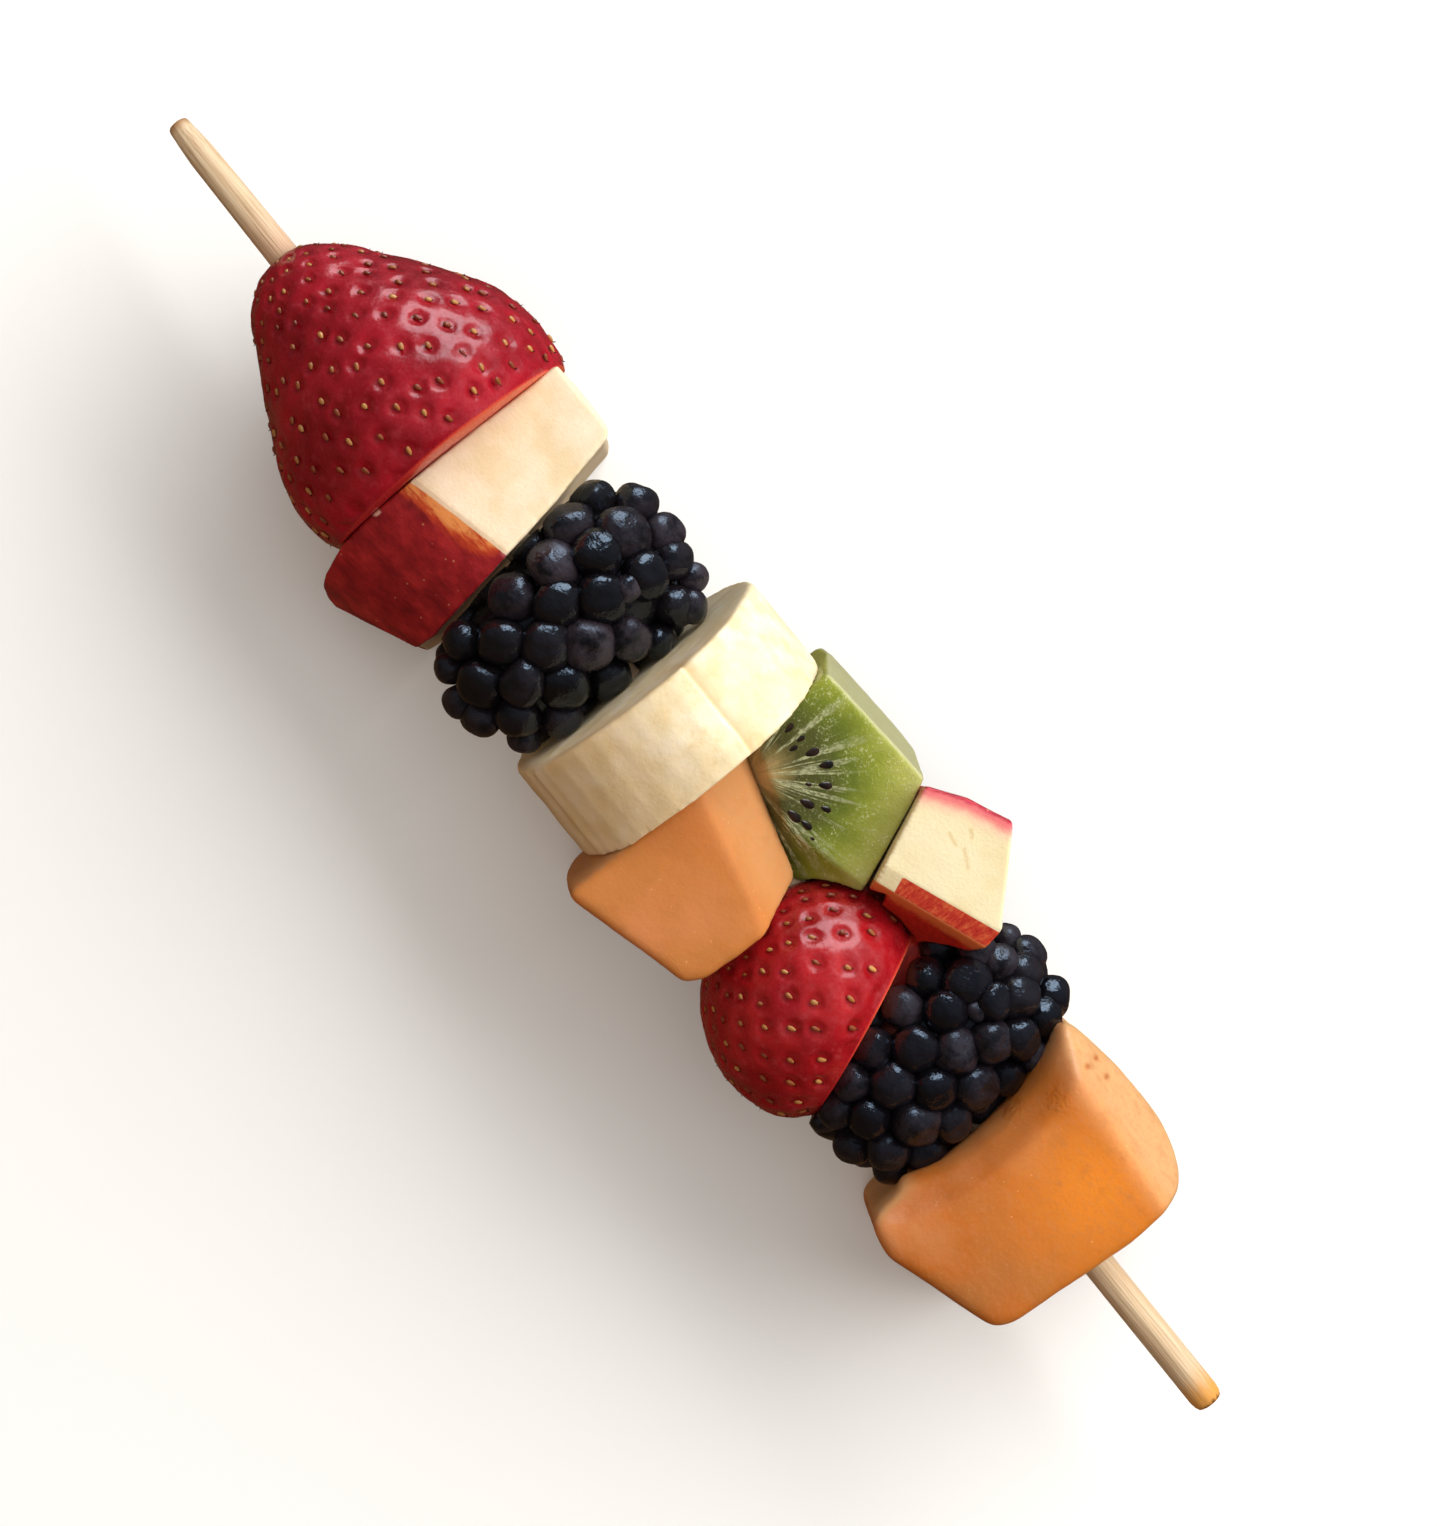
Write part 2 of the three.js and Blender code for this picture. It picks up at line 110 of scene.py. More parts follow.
def add_area_light(name, direction, distance, size, watts, colour):
    """A square soft box in a direction from the skewer's middle, facing it."""
    data = bpy.data.lights.new(name, "AREA")
    data.shape = "RECTANGLE"
    data.size, data.size_y = size
    data.energy = watts
    data.color = colour
    light = add_object(name, data)
    towards = Vector(direction).normalized()
    light.location = towards * distance + Vector((0.0, 0.0, REST_HEIGHT * MM))
    light.rotation_euler = towards.to_track_quat("Z", "Y").to_euler()
    return light


WINDOW_DIRECTION = (-0.62, 0.72, 0.26)
BRIGHT_SIDE = (-0.40, 0.80, 0.40)
ROOM = [(0.0, "4e3826"), (0.28, "5c4430"), (0.55, "4c4844"), (1.0, "7c8288")]  # up to the bright side


def add_light():
    """Soft daylight from the far side, a ceiling and a warm wall, and a window that glints in the fruit.

    Only the window shows in reflections, and the floor throws no light back, as if the room and the
    table were dark.
    """
    window = add_area_light("window", WINDOW_DIRECTION, 0.9, (0.55, 0.6), 6.4, (0.9, 0.95, 1.0))
    window.visible_diffuse = False
    fills = [
        add_area_light("daylight", (0.12, 0.85, 0.50), 1.2, (2.2, 0.9), 33.0, (1.0, 0.985, 0.96)),
        add_area_light("ceiling", (0.10, 0.0, 1.0), 1.3, (2.0, 1.4), 9.5, (1.0, 0.975, 0.94)),
        add_area_light("wall", (-0.55, -0.80, 0.28), 1.2, (2.0, 0.8), 3.6, (1.0, 0.66, 0.36)),
    ]
    for fill in fills:
        fill.visible_glossy = False
    world = bpy.data.worlds.new("studio")
    world.use_nodes = True
    sky = Nodes(world.node_tree)
    direction = sky.add("TexCoord").outputs["Generated"]
    facing = sky.vector("DOT_PRODUCT", direction, Vector(BRIGHT_SIDE).normalized())
    share = sky.maths("MULTIPLY_ADD", facing, 0.5, 0.5)
    background = world.node_tree.nodes["Background"]
    sky.link(sky.ramp(share, ROOM), background.inputs["Color"])
    background.inputs["Strength"].default_value = 1.0
    bpy.context.scene.world = world
    bpy.context.scene.view_settings.view_transform = "Standard"


def linear(colour):
    """A colour such as 'e38a3e' as Blender's linear red, green, blue and alpha."""
    channels = [int(colour[i:i + 2], 16) / 255 for i in (0, 2, 4)]
    return [((c + 0.055) / 1.055) ** 2.4 if c > 0.04045 else c / 12.92 for c in channels] + [1.0]


# ---- materials

class Nodes:
    """A node tree. Most methods add a node and return the socket that the next one uses."""

    def __init__(self, tree):
        self.tree = tree

    def link(self, source, target):
        self.tree.links.new(source, target)

    def feed(self, socket, value):
        """Sets a socket to a constant or links it to another socket."""
        if isinstance(value, bpy.types.NodeSocket):
            self.link(value, socket)
        elif isinstance(value, str):
            socket.default_value = linear(value)
        else:
            socket.default_value = value

    def add(self, kind, *values, **settings):
        """A node with its settings made and its first sockets fed."""
        node = self.tree.nodes.new("ShaderNode" + kind)
        for name, value in settings.items():
            setattr(node, name, value)
        for socket, value in zip(node.inputs, values):
            self.feed(socket, value)
        return node

    def vector(self, operation, *values):
        node = self.add("VectorMath", *values, operation=operation)
        return node.outputs["Value" if operation in ("LENGTH", "DOT_PRODUCT") else "Vector"]

    def maths(self, operation, *values):
        return self.add("Math", *values, operation=operation).outputs["Value"]

    def times(self, first, second):
        return self.maths("MULTIPLY", first, second)

    def shift(self, noise, reach, value):
        """A value that a noise from 0 to 1 raises by up to `reach`."""
        return self.maths("MULTIPLY_ADD", noise, reach, value)

    def parts(self, vector):
        return self.add("SeparateXYZ", vector).outputs[:3]

    def join(self, x, y, z):
        return self.add("CombineXYZ", x, y, z).outputs["Vector"]

    def ramp(self, value, stops):
        """A colour along a list of (position, colour) stops."""
        node = self.add("ValToRGB", value)
        elements = node.color_ramp.elements
        while len(elements) < len(stops):
            elements.new(1.0)
        for element, (position, colour) in zip(elements, stops):
            element.position = position
            element.color = linear(colour)
        return node.outputs["Color"]


class Paint(Nodes):
    """One material. `point` is the place on the surface in the skewer's frame, in mm."""

    def __init__(self, name, **constants):
        self.material = bpy.data.materials.new(name)
        self.material.use_nodes = True
        super().__init__(self.material.node_tree)
        self.tree.nodes.clear()
        self.shader = self.add("BsdfPrincipled")
        self.link(self.shader.outputs["BSDF"], self.add("OutputMaterial").inputs["Surface"])
        self.put(**constants)
        place = self.add("TexCoord").outputs["Object"]
        self.point = self.vector("MULTIPLY_ADD", place, [1 / MM] * 3, list(-SKEWER_ORIGIN))

    def put(self, **values):
        """Feeds the shader's sockets, with _ for each space in their names."""
        for name, value in values.items():
            self.feed(self.shader.inputs[name.replace("_", " ")], value)
        return self

    def step(self, value, low, high, bottom=0.0, top=1.0):
        """Rises smoothly from `bottom` to `top` as the value goes from `low` to `high`."""
        node = self.add("MapRange", value, low, high, bottom, top, interpolation_type="SMOOTHSTEP")
        return node.outputs["Result"]

    def texture(self, kind, point, size, stretch, seed):
        """A texture with lumps about `size` mm across, longer along `stretch`."""
        scale = [1 / (size * factor) for factor in stretch]
        node = self.add(kind, self.vector("MULTIPLY_ADD", point or self.point, scale, [seed] * 3))
        node.inputs["Scale"].default_value = 1.0
        return node

    def noise(self, size, detail=2.0, roughness=0.5, stretch=EVEN, seed=0.0, point=None):
        """Soft noise from 0 to 1."""
        node = self.texture("TexNoise", point, size, stretch, seed)
        node.inputs["Detail"].default_value = detail
        node.inputs["Roughness"].default_value = roughness
        return node.outputs["Fac"]

    def cells(self, size, seed):
        """Distance from the nearest of many scattered points about `size` mm apart, in cells."""
        return self.texture("TexVoronoi", None, size, EVEN, seed).outputs["Distance"]

    def mix(self, amount, first, second):
        """A colour between two, by an amount from 0 to 1."""
        node = self.add("Mix", amount, data_type="RGBA")
        self.feed(node.inputs[6], first)
        self.feed(node.inputs[7], second)
        return node.outputs[2]

    def cover(self, base, *layers):
        """Lays colours over a base: each is (amount, colour), or the values of a step and a colour."""
        for *mask, colour in layers:
            base = self.mix(self.step(*mask) if len(mask) > 1 else mask[0], base, colour)
        return base

    def attribute(self, name):
        """A number that the mesh carries at each of its points."""
        return self.add("Attribute", attribute_name=name).outputs["Fac"]

    def bump(self, height, depth, below=None):
        """Relief `depth` mm high from a height between 0 and 1."""
        node = self.add("Bump")
        node.inputs["Distance"].default_value = depth * MM
        self.link(height, node.inputs["Height"])
        if below is not None:
            self.link(below, node.inputs["Normal"])
        return node.outputs["Normal"]


# ---- mesh helpers

def new_piece(name, points, faces):
    """An object from points in the skewer's frame, in mm, and faces of three or four corners."""
    mesh = bpy.data.meshes.new(name)
    mesh.from_pydata(to_model(points).tolist(), [], faces)
    mesh.update()
    return add_object(name, mesh)


def settle(piece):
    """Applies the piece's modifiers."""
    bpy.context.view_layer.update()
    depsgraph = bpy.context.evaluated_depsgraph_get()
    mesh = bpy.data.meshes.new_from_object(piece.evaluated_get(depsgraph))
    piece.modifiers.clear()
    bare = piece.data
    piece.data = mesh
    bpy.data.meshes.remove(bare)


def read(piece, what):
    """A vector at each point of the mesh, in the model's frame: "co" or "normal"."""
    flat = np.empty(len(piece.data.vertices) * 3)
    piece.data.vertices.foreach_get(what, flat)
    return flat.reshape(-1, 3)


def write(piece, places):
    piece.data.vertices.foreach_set("co", places.ravel())
    piece.data.update()


def points_of(piece):
    """The piece's points, in the skewer's frame."""
    return to_skewer(read(piece, "co"))


def move_points(piece, points):
    write(piece, to_model(points))


def store(piece, name, values):
    """Keeps a number at each point of the mesh, for its material."""
    layer = piece.data.attributes.new(name, "FLOAT", "POINT")
    layer.data.foreach_set("value", np.asarray(values, np.float32))


def lumps(points, size, seed, stretch=EVEN):
    """Soft noise from about -1 to 1 at each point, with lumps about `size` mm across."""
    places = np.asarray(points) / (size * np.asarray(stretch)) + seed
    return np.array([noise.noise(Vector(place)) for place in places]) * 1.6


def rise(values, low, high):
    """Goes smoothly from 0 to 1 as the values go from `low` to `high`."""
    u = np.clip((np.asarray(values, float) - low) / (high - low), 0, 1)
    return u * u * (3 - 2 * u)


def turn_about_z(angle):
    return np.array(Matrix.Rotation(angle, 3, "Z"))


def search_tree(places):
    """A tree that finds the nearest of some places."""
    tree = kdtree.KDTree(len(places))
    for index, place in enumerate(places):
        tree.insert(place, index)
    tree.balance()
    return tree


def spots(points, places, spread):
    """1 at each of some places seen from above, and less away from them."""
    s, t = points[:, 0], points[:, 1]
    marks = [np.exp(-((s - x) ** 2 + (t - y) ** 2) / spread) for x, y in places]
    return np.max([np.zeros(len(points)), *marks], axis=0)


def walls(rings, sides, first=0):
    """Faces between rings of points: `rings` bands, whose points start at number `first`."""
    faces = []
    for start in range(first, first + rings * sides, sides):
        for k in range(sides):
            a, b = start + k, start + (k + 1) % sides
            faces.append((a, b, b + sides, a + sides))
    return faces


def joined(shapes):
    """Points and faces of several shapes, each (points, faces), as one."""
    faces, total = [], 0
    for points, shape_faces in shapes:
        faces += [tuple(corner + total for corner in face) for face in shape_faces]
        total += len(points)
    return np.vstack([points for points, _ in shapes]), faces


def fine_copy(node, name, voxel, softening):
    """A fine copy of a CAD solid, with its edges softened."""
    piece = add_object(name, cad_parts[node].data.copy())
    remesh = piece.modifiers.new("remesh", "REMESH")
    remesh.mode = "VOXEL"
    remesh.voxel_size = voxel * MM
    soften = piece.modifiers.new("soften", "SMOOTH")
    soften.factor = 0.5
    soften.iterations = softening
    settle(piece)
    return piece


def roughen(piece, layers, inset):
    """Makes a surface uneven: layers of (lump size, height, any stretch), set in by `inset` mm."""
    points = points_of(piece)
    height = np.full(len(points), -inset)
    for seed, (size, depth, *stretch) in enumerate(layers):
        height += depth * lumps(points, size, 7.3 * seed + 1.1, *stretch)
    move_points(piece, points + read(piece, "normal") * height[:, None])


def finish_piece(piece, node, paint):
    """Gives a piece its material and body, hides the solid that it stands for, and keeps the piece inside the
    solids' box.
    """
    write(piece, np.clip(read(piece, "co"), *np.array([list(corner) for corner in cad_box])))
    piece.data.materials.clear()
    piece.data.materials.append(paint.material)
    piece.data.polygons.foreach_set("use_smooth", [True] * len(piece.data.polygons))
    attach(piece, "root")
    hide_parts(node)


def drill(piece):
    """Makes the hole that the stick goes through."""
    sides = 32
    reach = 5.0  # how far the drill goes beyond the stick
    angles = [2 * math.pi * k / sides for k in range(sides)]
    points = [(end, HOLE_RADIUS * math.cos(angle), HOLE_RADIUS * math.sin(angle))
              for end in (-reach, STICK_LENGTH + reach) for angle in angles]
    caps = [list(range(sides))[::-1], list(range(sides, 2 * sides))]
    rod = new_piece("drill", points, walls(1, sides) + caps)
    cut = piece.modifiers.new("hole", "BOOLEAN")
    cut.operation = "DIFFERENCE"
    cut.solver = "MANIFOLD"
    cut.object = rod
    settle(piece)
    bpy.data.objects.remove(rod)


def turned(profile, sides):
    """Points and faces of a solid turned about the s axis, closed at both ends.

    `profile` is a list of (s, radius).
    """
    points = []
    for s, radius in profile:
        for k in range(sides):
            angle = 2 * math.pi * k / sides
            points.append((s, radius * math.sin(angle), radius * math.cos(angle)))
    faces = walls(len(profile) - 1, sides)
    points += [(profile[0][0], 0.0, 0.0), (profile[-1][0], 0.0, 0.0)]
    tip, end = len(points) - 2, len(points) - 1
    last = (len(profile) - 1) * sides
    for k in range(sides):
        faces.append((tip, (k + 1) % sides, k))
        faces.append((end, last + k, last + (k + 1) % sides))
    return np.array(points), faces


# ---- stick

STICK_PROFILE = [(0.0, 1.05), (0.15, 1.22), (0.5, 1.34), (2.4, 1.53), (5.0, 1.73), (12.0, 1.83), (21.0, 1.97),
                 (201.4, 1.97), (202.3, 1.85), (202.8, 1.6), (203.0, 1.2)]


def stick_paint():
    """Pale birch with fine fibres, golden and scorched at the blunt end."""
    paint = Paint("birch_wood", Roughness=0.6, Specular_IOR_Level=0.25)
    s, _, _ = paint.parts(paint.point)
    fibre = paint.noise(0.2, 3.0, 0.65, (50.0, 1.0, 1.0))
    streak = paint.noise(0.6, 2.0, 0.5, (25.0, 1.0, 1.0), 4.0)
    juice = paint.times(paint.step(s, 12.0, 21.5, 0.0, 0.3), paint.step(s, 22.0, 26.0, 1.0, 0.0))
    ragged = paint.noise(0.5, 2.0, 0.6, (3.0, 1.0, 1.0), 9.0)
    base = paint.cover(
        paint.ramp(fibre, [(0.32, "b49572"), (0.47, "ccb290"), (0.66, "d8c3a5")]),
        (streak, 0.5, 0.7, 0.0, 0.45, "b8916a"),
        (juice, "b06a58"),
        (s, 0.1, 1.4, 0.8, 0.0, "9c6a3a"),
        (paint.shift(ragged, 3.0, s), 199.0, 203.6, "d3954a"),
        (paint.shift(ragged, 1.6, s), 203.1, 204.0, "4e2a12"))
    return paint.put(Base_Color=base, Normal=paint.bump(fibre, 0.08))


def add_stick():
    steps = []
    for (s0, r0), (s1, r1) in zip(STICK_PROFILE, STICK_PROFILE[1:]):
        count = max(1, int(s1 - s0))
        steps += [(s0 + (s1 - s0) * k / count, r0 + (r1 - r0) * k / count) for k in range(count)]
    points, faces = turned(steps + [STICK_PROFILE[-1]], 64)
    piece = new_piece("stick", points, faces)
    roughen(piece, [(0.8, 0.05, (40.0, 1.0, 1.0)), (0.35, 0.03, (60.0, 1.0, 1.0))], 0.04)
    finish_piece(piece, "skewer_stick", stick_paint())


# ---- strawberries

STRAWBERRY_LARGE = {
    "profile": [(0, 1.2), (0.8, 4.3), (4, 7.9), (9, 11.1), (14, 14.4), (19, 17.2), (24, 18.8), (28, 19.1),
                (31.2, 18.7), (32.6, 17.8)],
    "start": (21.0, 0.0, 0.0),
    "turn": 0.0,
    "sidestep": (-0.7, 0.45, 17.0),
}
SMALL_AXIS = Vector((0.925, 0.38, 0.0)).normalized()
SMALL_LENGTH = 21.0
STRAWBERRY_SMALL = {
    "profile": [(0, 1), (1.2, 4.9), (3.8, 9.4), (8.6, 13.7), (14.5, 15.4), (18.5, 14.9), (21.2, 12.9)],
    "start": (139.3 - SMALL_LENGTH * SMALL_AXIS.x, -4.0 - SMALL_LENGTH * SMALL_AXIS.y, 0.0),
    "turn": math.atan2(SMALL_AXIS.y, SMALL_AXIS.x),
    "sidestep": (0.0, 0.0, 1.0),
}
ACHENE_SPACING = [(0.0, 2.7), (6.0, 3.3), (13.0, 4.1)]  # wider apart away from the tip
GOLDEN_ANGLE = math.pi * (3 - math.sqrt(5))
ACHENE_HALF = (0.56, 0.31, 0.24)  # length, width and height
PIT_DEPTH = 0.32
PIT_SLOPE = (0.6, 1.55)  # how far from its achene a pit starts to rise, and where it ends


def smooth_curve(points, count):
    """Evenly spaced points on a smooth curve through a few given ones."""
    knots = np.array([points[0], *points, points[-1]], float)
    dense = []
    for k in range(1, len(knots) - 2):
        a, b, c, d = knots[k - 1:k + 3]
        for u in np.linspace(0, 1, 40, endpoint=False):
            dense.append(0.5 * (2 * b + (c - a) * u + (2 * a - 5 * b + 4 * c - d) * u ** 2
                                + (3 * b - 3 * c + d - a) * u ** 3))
    dense = np.array(dense + [knots[-1]])
    travelled = np.concatenate([[0], np.cumsum(np.hypot(*np.diff(dense, axis=0).T))])
    even = np.linspace(0, travelled[-1], count)
    return np.column_stack([np.interp(even, travelled, dense[:, axis]) for axis in (0, 1)])


def placed(points, berry):
    """Points of a berry's own frame, whose axis is x, in the skewer's frame."""
    tip, end, straight = berry["sidestep"]
    points = np.array(points, float)
    points[:, 1] += tip + (end - tip) * rise(points[:, 0], 0.0, straight)
    return points @ turn_about_z(berry["turn"]).T + np.array(berry["start"])


def achene_spacing(x):
    return np.interp(x, *zip(*ACHENE_SPACING))


def achene_size(x):
    """The size of the achenes at a place on a berry, next to that of the largest."""
    return achene_spacing(x) / ACHENE_SPACING[-1][1]


def achene_places(curve, twist, rng):
    """Places on a berry in the spirals in which achenes grow: (centre, forward, outward)."""
    length = np.hypot(*np.diff(curve, axis=0).T)
    bands = math.pi * (curve[:-1, 1] + curve[1:, 1]) * length
    room = achene_spacing(curve[:-1, 0]) ** 2 * math.sqrt(3) / 2
    counted = np.concatenate([[0], np.cumsum(bands / room)])
    places = []
    for k in range(3, int(counted[-1])):
        step = np.interp(k + 0.5, counted, np.arange(len(curve)))
        low = min(int(step), len(curve) - 2)
        x, radius = curve[low] + (curve[low + 1] - curve[low]) * (step - low)
        slope = (curve[low + 1] - curve[low]) / length[low]
        angle = GOLDEN_ANGLE * k + twist
        around = Vector((0.0, math.sin(angle), math.cos(angle)))
        centre = Vector((x, 0.0, 0.0)) + around * radius
        forward = (Vector((slope[0], 0.0, 0.0)) + around * slope[1]).normalized()
        outward = (Vector((-slope[1], 0.0, 0.0)) + around * slope[0]).normalized()
        stray = 0.11 * achene_spacing(x)
        centre += forward * rng.gauss(0, stray) + outward.cross(forward) * rng.gauss(0, stray)
        places.append((centre, forward, outward))
    return places


def strawberry_paint(name, deep, bright, dull):
    """Moist red skin, with a painted shade of deeper, more saturated red in the pits, and orange-pink where
    it was cut.
    """
    paint = Paint(name, Roughness=0.32, Specular_IOR_Level=0.4, Coat_Weight=0.14, Coat_Roughness=0.12,
                  Subsurface_Weight=0.1, Subsurface_Scale=0.001, Subsurface_Radius=(1.0, 0.2, 0.12))
    cloud = paint.noise(8.0, 3.0, 0.55)
    net = paint.noise(1.6, 3.0, 0.6, seed=7.0)
    grain = paint.noise(0.45, 3.0, 0.6, seed=5.0)
    end = paint.attribute("end")
    cut = paint.ramp(end, [(0.0, "a82424"), (0.5, "c23a2c"), (1.0, "cc5a3c")])
    base = paint.cover(
        deep,
        (cloud, 0.36, 0.66, bright),
        (net, 0.5, 0.75, 0.0, 0.4, dull),
        # Painted shade: deeper, more saturated red in the pits.
        (paint.times(paint.attribute("pit"), 0.35), "8c0610"),
        (grain, 0.58, 0.8, 0.0, 0.2, dull),
        (end, 0.0, 0.35, cut))
    relief = paint.bump(paint.noise(1.0, 3.0, 0.55, seed=2.0), 0.05, paint.bump(grain, 0.025))
    return paint.put(Base_Color=base, Roughness=paint.step(grain, 0.3, 0.75, 0.22, 0.38), Normal=relief,
                     Coat_Normal=relief)


def achene_paint():
    """Golden-brown achenes. The dried style at the tip of each is nearly black."""
    paint = Paint("achene", Roughness=0.36, Specular_IOR_Level=0.5, Coat_Weight=0.25, Coat_Roughness=0.2)
    golden = paint.ramp(paint.attribute("ripe"), [(0.0, "6a2416"), (0.45, "8a4c24"), (1.0, "ba8648")])
    return paint.put(Base_Color=paint.mix(paint.attribute("style"), golden, "2c0c10"),
                     Normal=paint.bump(paint.noise(0.2, 1.0, 0.5), 0.03))


def achene_shape(rng):
    """Points and faces of one achene about its middle, with its style: x ahead, y aside, z outward."""
    rings, sides = 7, 10
    length, width, height = ACHENE_HALF
    length *= rng.uniform(0.85, 1.1)
    width *= rng.uniform(0.9, 1.1)
    points = []
    for ring in range(rings + 1):
        along = -math.cos(math.pi * ring / rings)
        girth = math.sin(math.pi * ring / rings) * (1 - 0.28 * along)
        for k in range(sides):
            a = 2 * math.pi * k / sides
            points.append((along * length, girth * math.cos(a) * width, girth * math.sin(a) * height))
    foot, thin = len(points), 0.11
    lean = rng.uniform(-0.2, 0.2)
    points += [(length * 0.8, thin, 0), (length * 0.8, -thin, 0), (length * 0.8 + 2 * thin, 0, 0),
               (length + 0.15, lean, rng.uniform(0.3, 0.5))]
    style = [(0, 2, 3), (2, 1, 3), (1, 0, 3), (0, 1, 2)]
    faces = walls(rings, sides) + [tuple(foot + corner for corner in face) for face in style]
    return np.array(points), faces, foot


def add_achenes(name, places, berry, node, seed):
    """Drop-shaped achenes, each sunk in its pit, as one joined mesh."""
    rng = random.Random(seed)
    shapes, style, ripe = [], [], []
    for centre, forward, outward in places:
        shape, faces, foot = achene_shape(rng)
        turn = rng.uniform(-0.3, 0.3)
        sideways = outward.cross(forward)
        ahead = forward * math.cos(turn) + sideways * math.sin(turn)
        axes = np.array([ahead, outward.cross(ahead), outward])
        size = achene_size(centre.x)
        middle = np.array(centre - outward * rng.uniform(0.24, 0.42) * size)
        shapes.append((shape * size @ axes + middle, faces))
        style += [0.0] * foot + [1.0] * (len(shape) - foot)
        ripe += [rng.random()] * len(shape)
    points, faces = joined(shapes)
    piece = new_piece(name, placed(points, berry), faces)
    store(piece, "style", style)
    store(piece, "ripe", ripe)
    finish_piece(piece, node, ACHENE_PAINT)


def add_strawberry(node, berry, sides, rings, paint, seed, twist):
    """A turned berry with a pit under each achene, drilled for the stick."""
    curve = smooth_curve(berry["profile"], rings)
    places = achene_places(curve, twist, random.Random(int(seed * 100)))
    points, faces = turned([tuple(p) for p in curve], sides)
    tree = search_tree([centre for centre, _, _ in places])
    size = achene_size(points[:, 0])
    distance = np.array([tree.find(Vector(p))[2] for p in points]) / size
    length = curve[-1, 0]
    on_side = np.clip((length - points[:, 0]) / 0.8, 0, 1)
    around = np.maximum(np.hypot(points[:, 1], points[:, 2]), 0.01)
    tilt = np.interp(points[:, 0], curve[:, 0], np.gradient(curve[:, 1], curve[:, 0]))
    outward = np.column_stack([-tilt, points[:, 1] / around, points[:, 2] / around])
    outward /= np.linalg.norm(outward, axis=1)[:, None]
    uneven = 1 + 0.25 * lumps(points, 5.0, seed + 40)
    pit = 1 - rise(distance * (1 + 0.1 * lumps(points, 1.2, seed + 30)), *PIT_SLOPE)
    relief = -PIT_DEPTH * pit * size * uneven - 0.12 + 0.22 * lumps(points, 7.0, seed)
    relief += 0.035 * lumps(points, 1.5, seed + 20) - 0.06 * rise(distance, 2.4, 1.6)
    points = points + outward * (relief * on_side)[:, None]
    fine = placed(points, berry)
    fine[:, 2] = np.maximum(fine[:, 2], -REST_HEIGHT)
    piece = new_piece(node + "_flesh", fine, faces)
    # The pit mask also carries the pits' painted shade.
    store(piece, "pit", pit * on_side)
    rim = np.clip((points[:, 0] - length + 0.3) / 0.3, 0, 1)
    store(piece, "end", rim * (0.2 + 0.8 * rise(points[:, 1], -8.0, 4.0)))
    drill(piece)
    finish_piece(piece, node, paint)
    shown = [p for p in places if p[0].z > -REST_HEIGHT + 1.0 and p[0].x < length - 1.2]
    add_achenes(node + "_achenes", shown, berry, node, int(seed * 10))


# ---- brambles

# `shown` gives the drupelets of the upper side, in the berry's own frame: (x, y, radius).
# `girth` is 2 for a round cross-section, and more for one that the neighbours press square.
BRAMBLE_UPPER = {
    "centre": (77.6, -1.0, 0.0), "half": (12.5, 17.9, 12.6), "turn": math.radians(8), "seed": 3,
    "radius": 2.75, "spacing": 4.8, "girth": 2.5,
    "shown": [(-7.2, 12.8, 2.7), (-3.1, 16.0, 2.5), (1.8, 15.7, 2.5), (-7.0, 8.4, 3.1), (-1.6, 12.4, 3.2),
              (-8.6, 3.3, 2.2), (-2.0, 8.2, 3.0), (-5.0, 3.7, 3.0), (4.1, 10.4, 3.0), (5.0, 13.9, 2.4),
              (7.9, 14.0, 1.8), (-5.9, -2.6, 3.0), (-1.3, 0.6, 3.1), (2.3, 4.9, 3.2), (8.7, 10.1, 2.4),
              (10.1, 11.3, 2.0), (-3.2, -7.5, 2.9), (1.2, -4.2, 3.3), (5.0, -0.4, 3.2), (7.8, 3.5, 2.8),
              (10.2, 5.6, 2.1), (-6.7, -10.4, 2.4), (-1.6, -12.7, 2.9), (2.1, -9.3, 2.9), (6.0, -6.1, 2.9),
              (9.1, -1.6, 2.7), (-5.6, -13.8, 2.1), (0.9, -15.6, 2.4), (4.3, -12.7, 2.7), (-2.2, -16.0, 2.0),
              (8.2, -9.3, 2.5), (6.3, -14.0, 2.0), (3.5, 7.5, 1.8)],
}
BRAMBLE_LOWER = {
    "centre": (147.2, 1.0, -0.5), "half": (11.3, 17.9, 12.2), "turn": math.radians(7), "seed": 11,
    "radius": 2.6, "spacing": 4.4, "girth": 3.3,
    "shown": [(0.1, 16.0, 2.2), (1.1, 14.2, 2.7), (-2.7, 15.3, 1.9), (-1.9, 13.0, 2.2),
              (5.9, 14.4, 2.4), (2.5, 11.5, 2.8), (6.6, 11.8, 2.5), (6.2, 8.1, 2.7), (0.7, 9.0, 2.3),
              (-3.4, 8.8, 2.9), (-7.0, 5.6, 2.6), (-8.2, 9.1, 2.4), (-4.7, 11.9, 2.3), (-6.6, 0.9, 2.6),
              (-2.8, 4.4, 2.8), (4.0, 5.5, 2.7), (-2.4, -1.6, 2.9), (1.7, 1.7, 2.9), (-5.7, -5.1, 2.4),
              (-1.2, -6.6, 2.8), (2.9, -3.3, 2.9), (6.3, 0.2, 2.8), (8.1, 3.5, 2.4), (8.8, 7.6, 1.9),
              (-4.7, -9.8, 2.4), (-0.1, -11.4, 2.7), (4.3, -8.0, 2.9), (7.3, -4.8, 2.6),
              (-3.5, -13.4, 2.3), (1.0, -15.2, 2.4), (4.3, -12.7, 2.5), (8.0, -9.9, 2.5),
              (-3.6, -15.4, 1.8), (6.2, -14.2, 2.0), (8.6, 11.5, 1.6), (-0.1, 6.9, 1.3),
              (7.9, -1.0, 1.2)],
}
BERRY_FULLNESS = 3.0  # 2 would make the berries ellipsoids; more makes their ends blunter
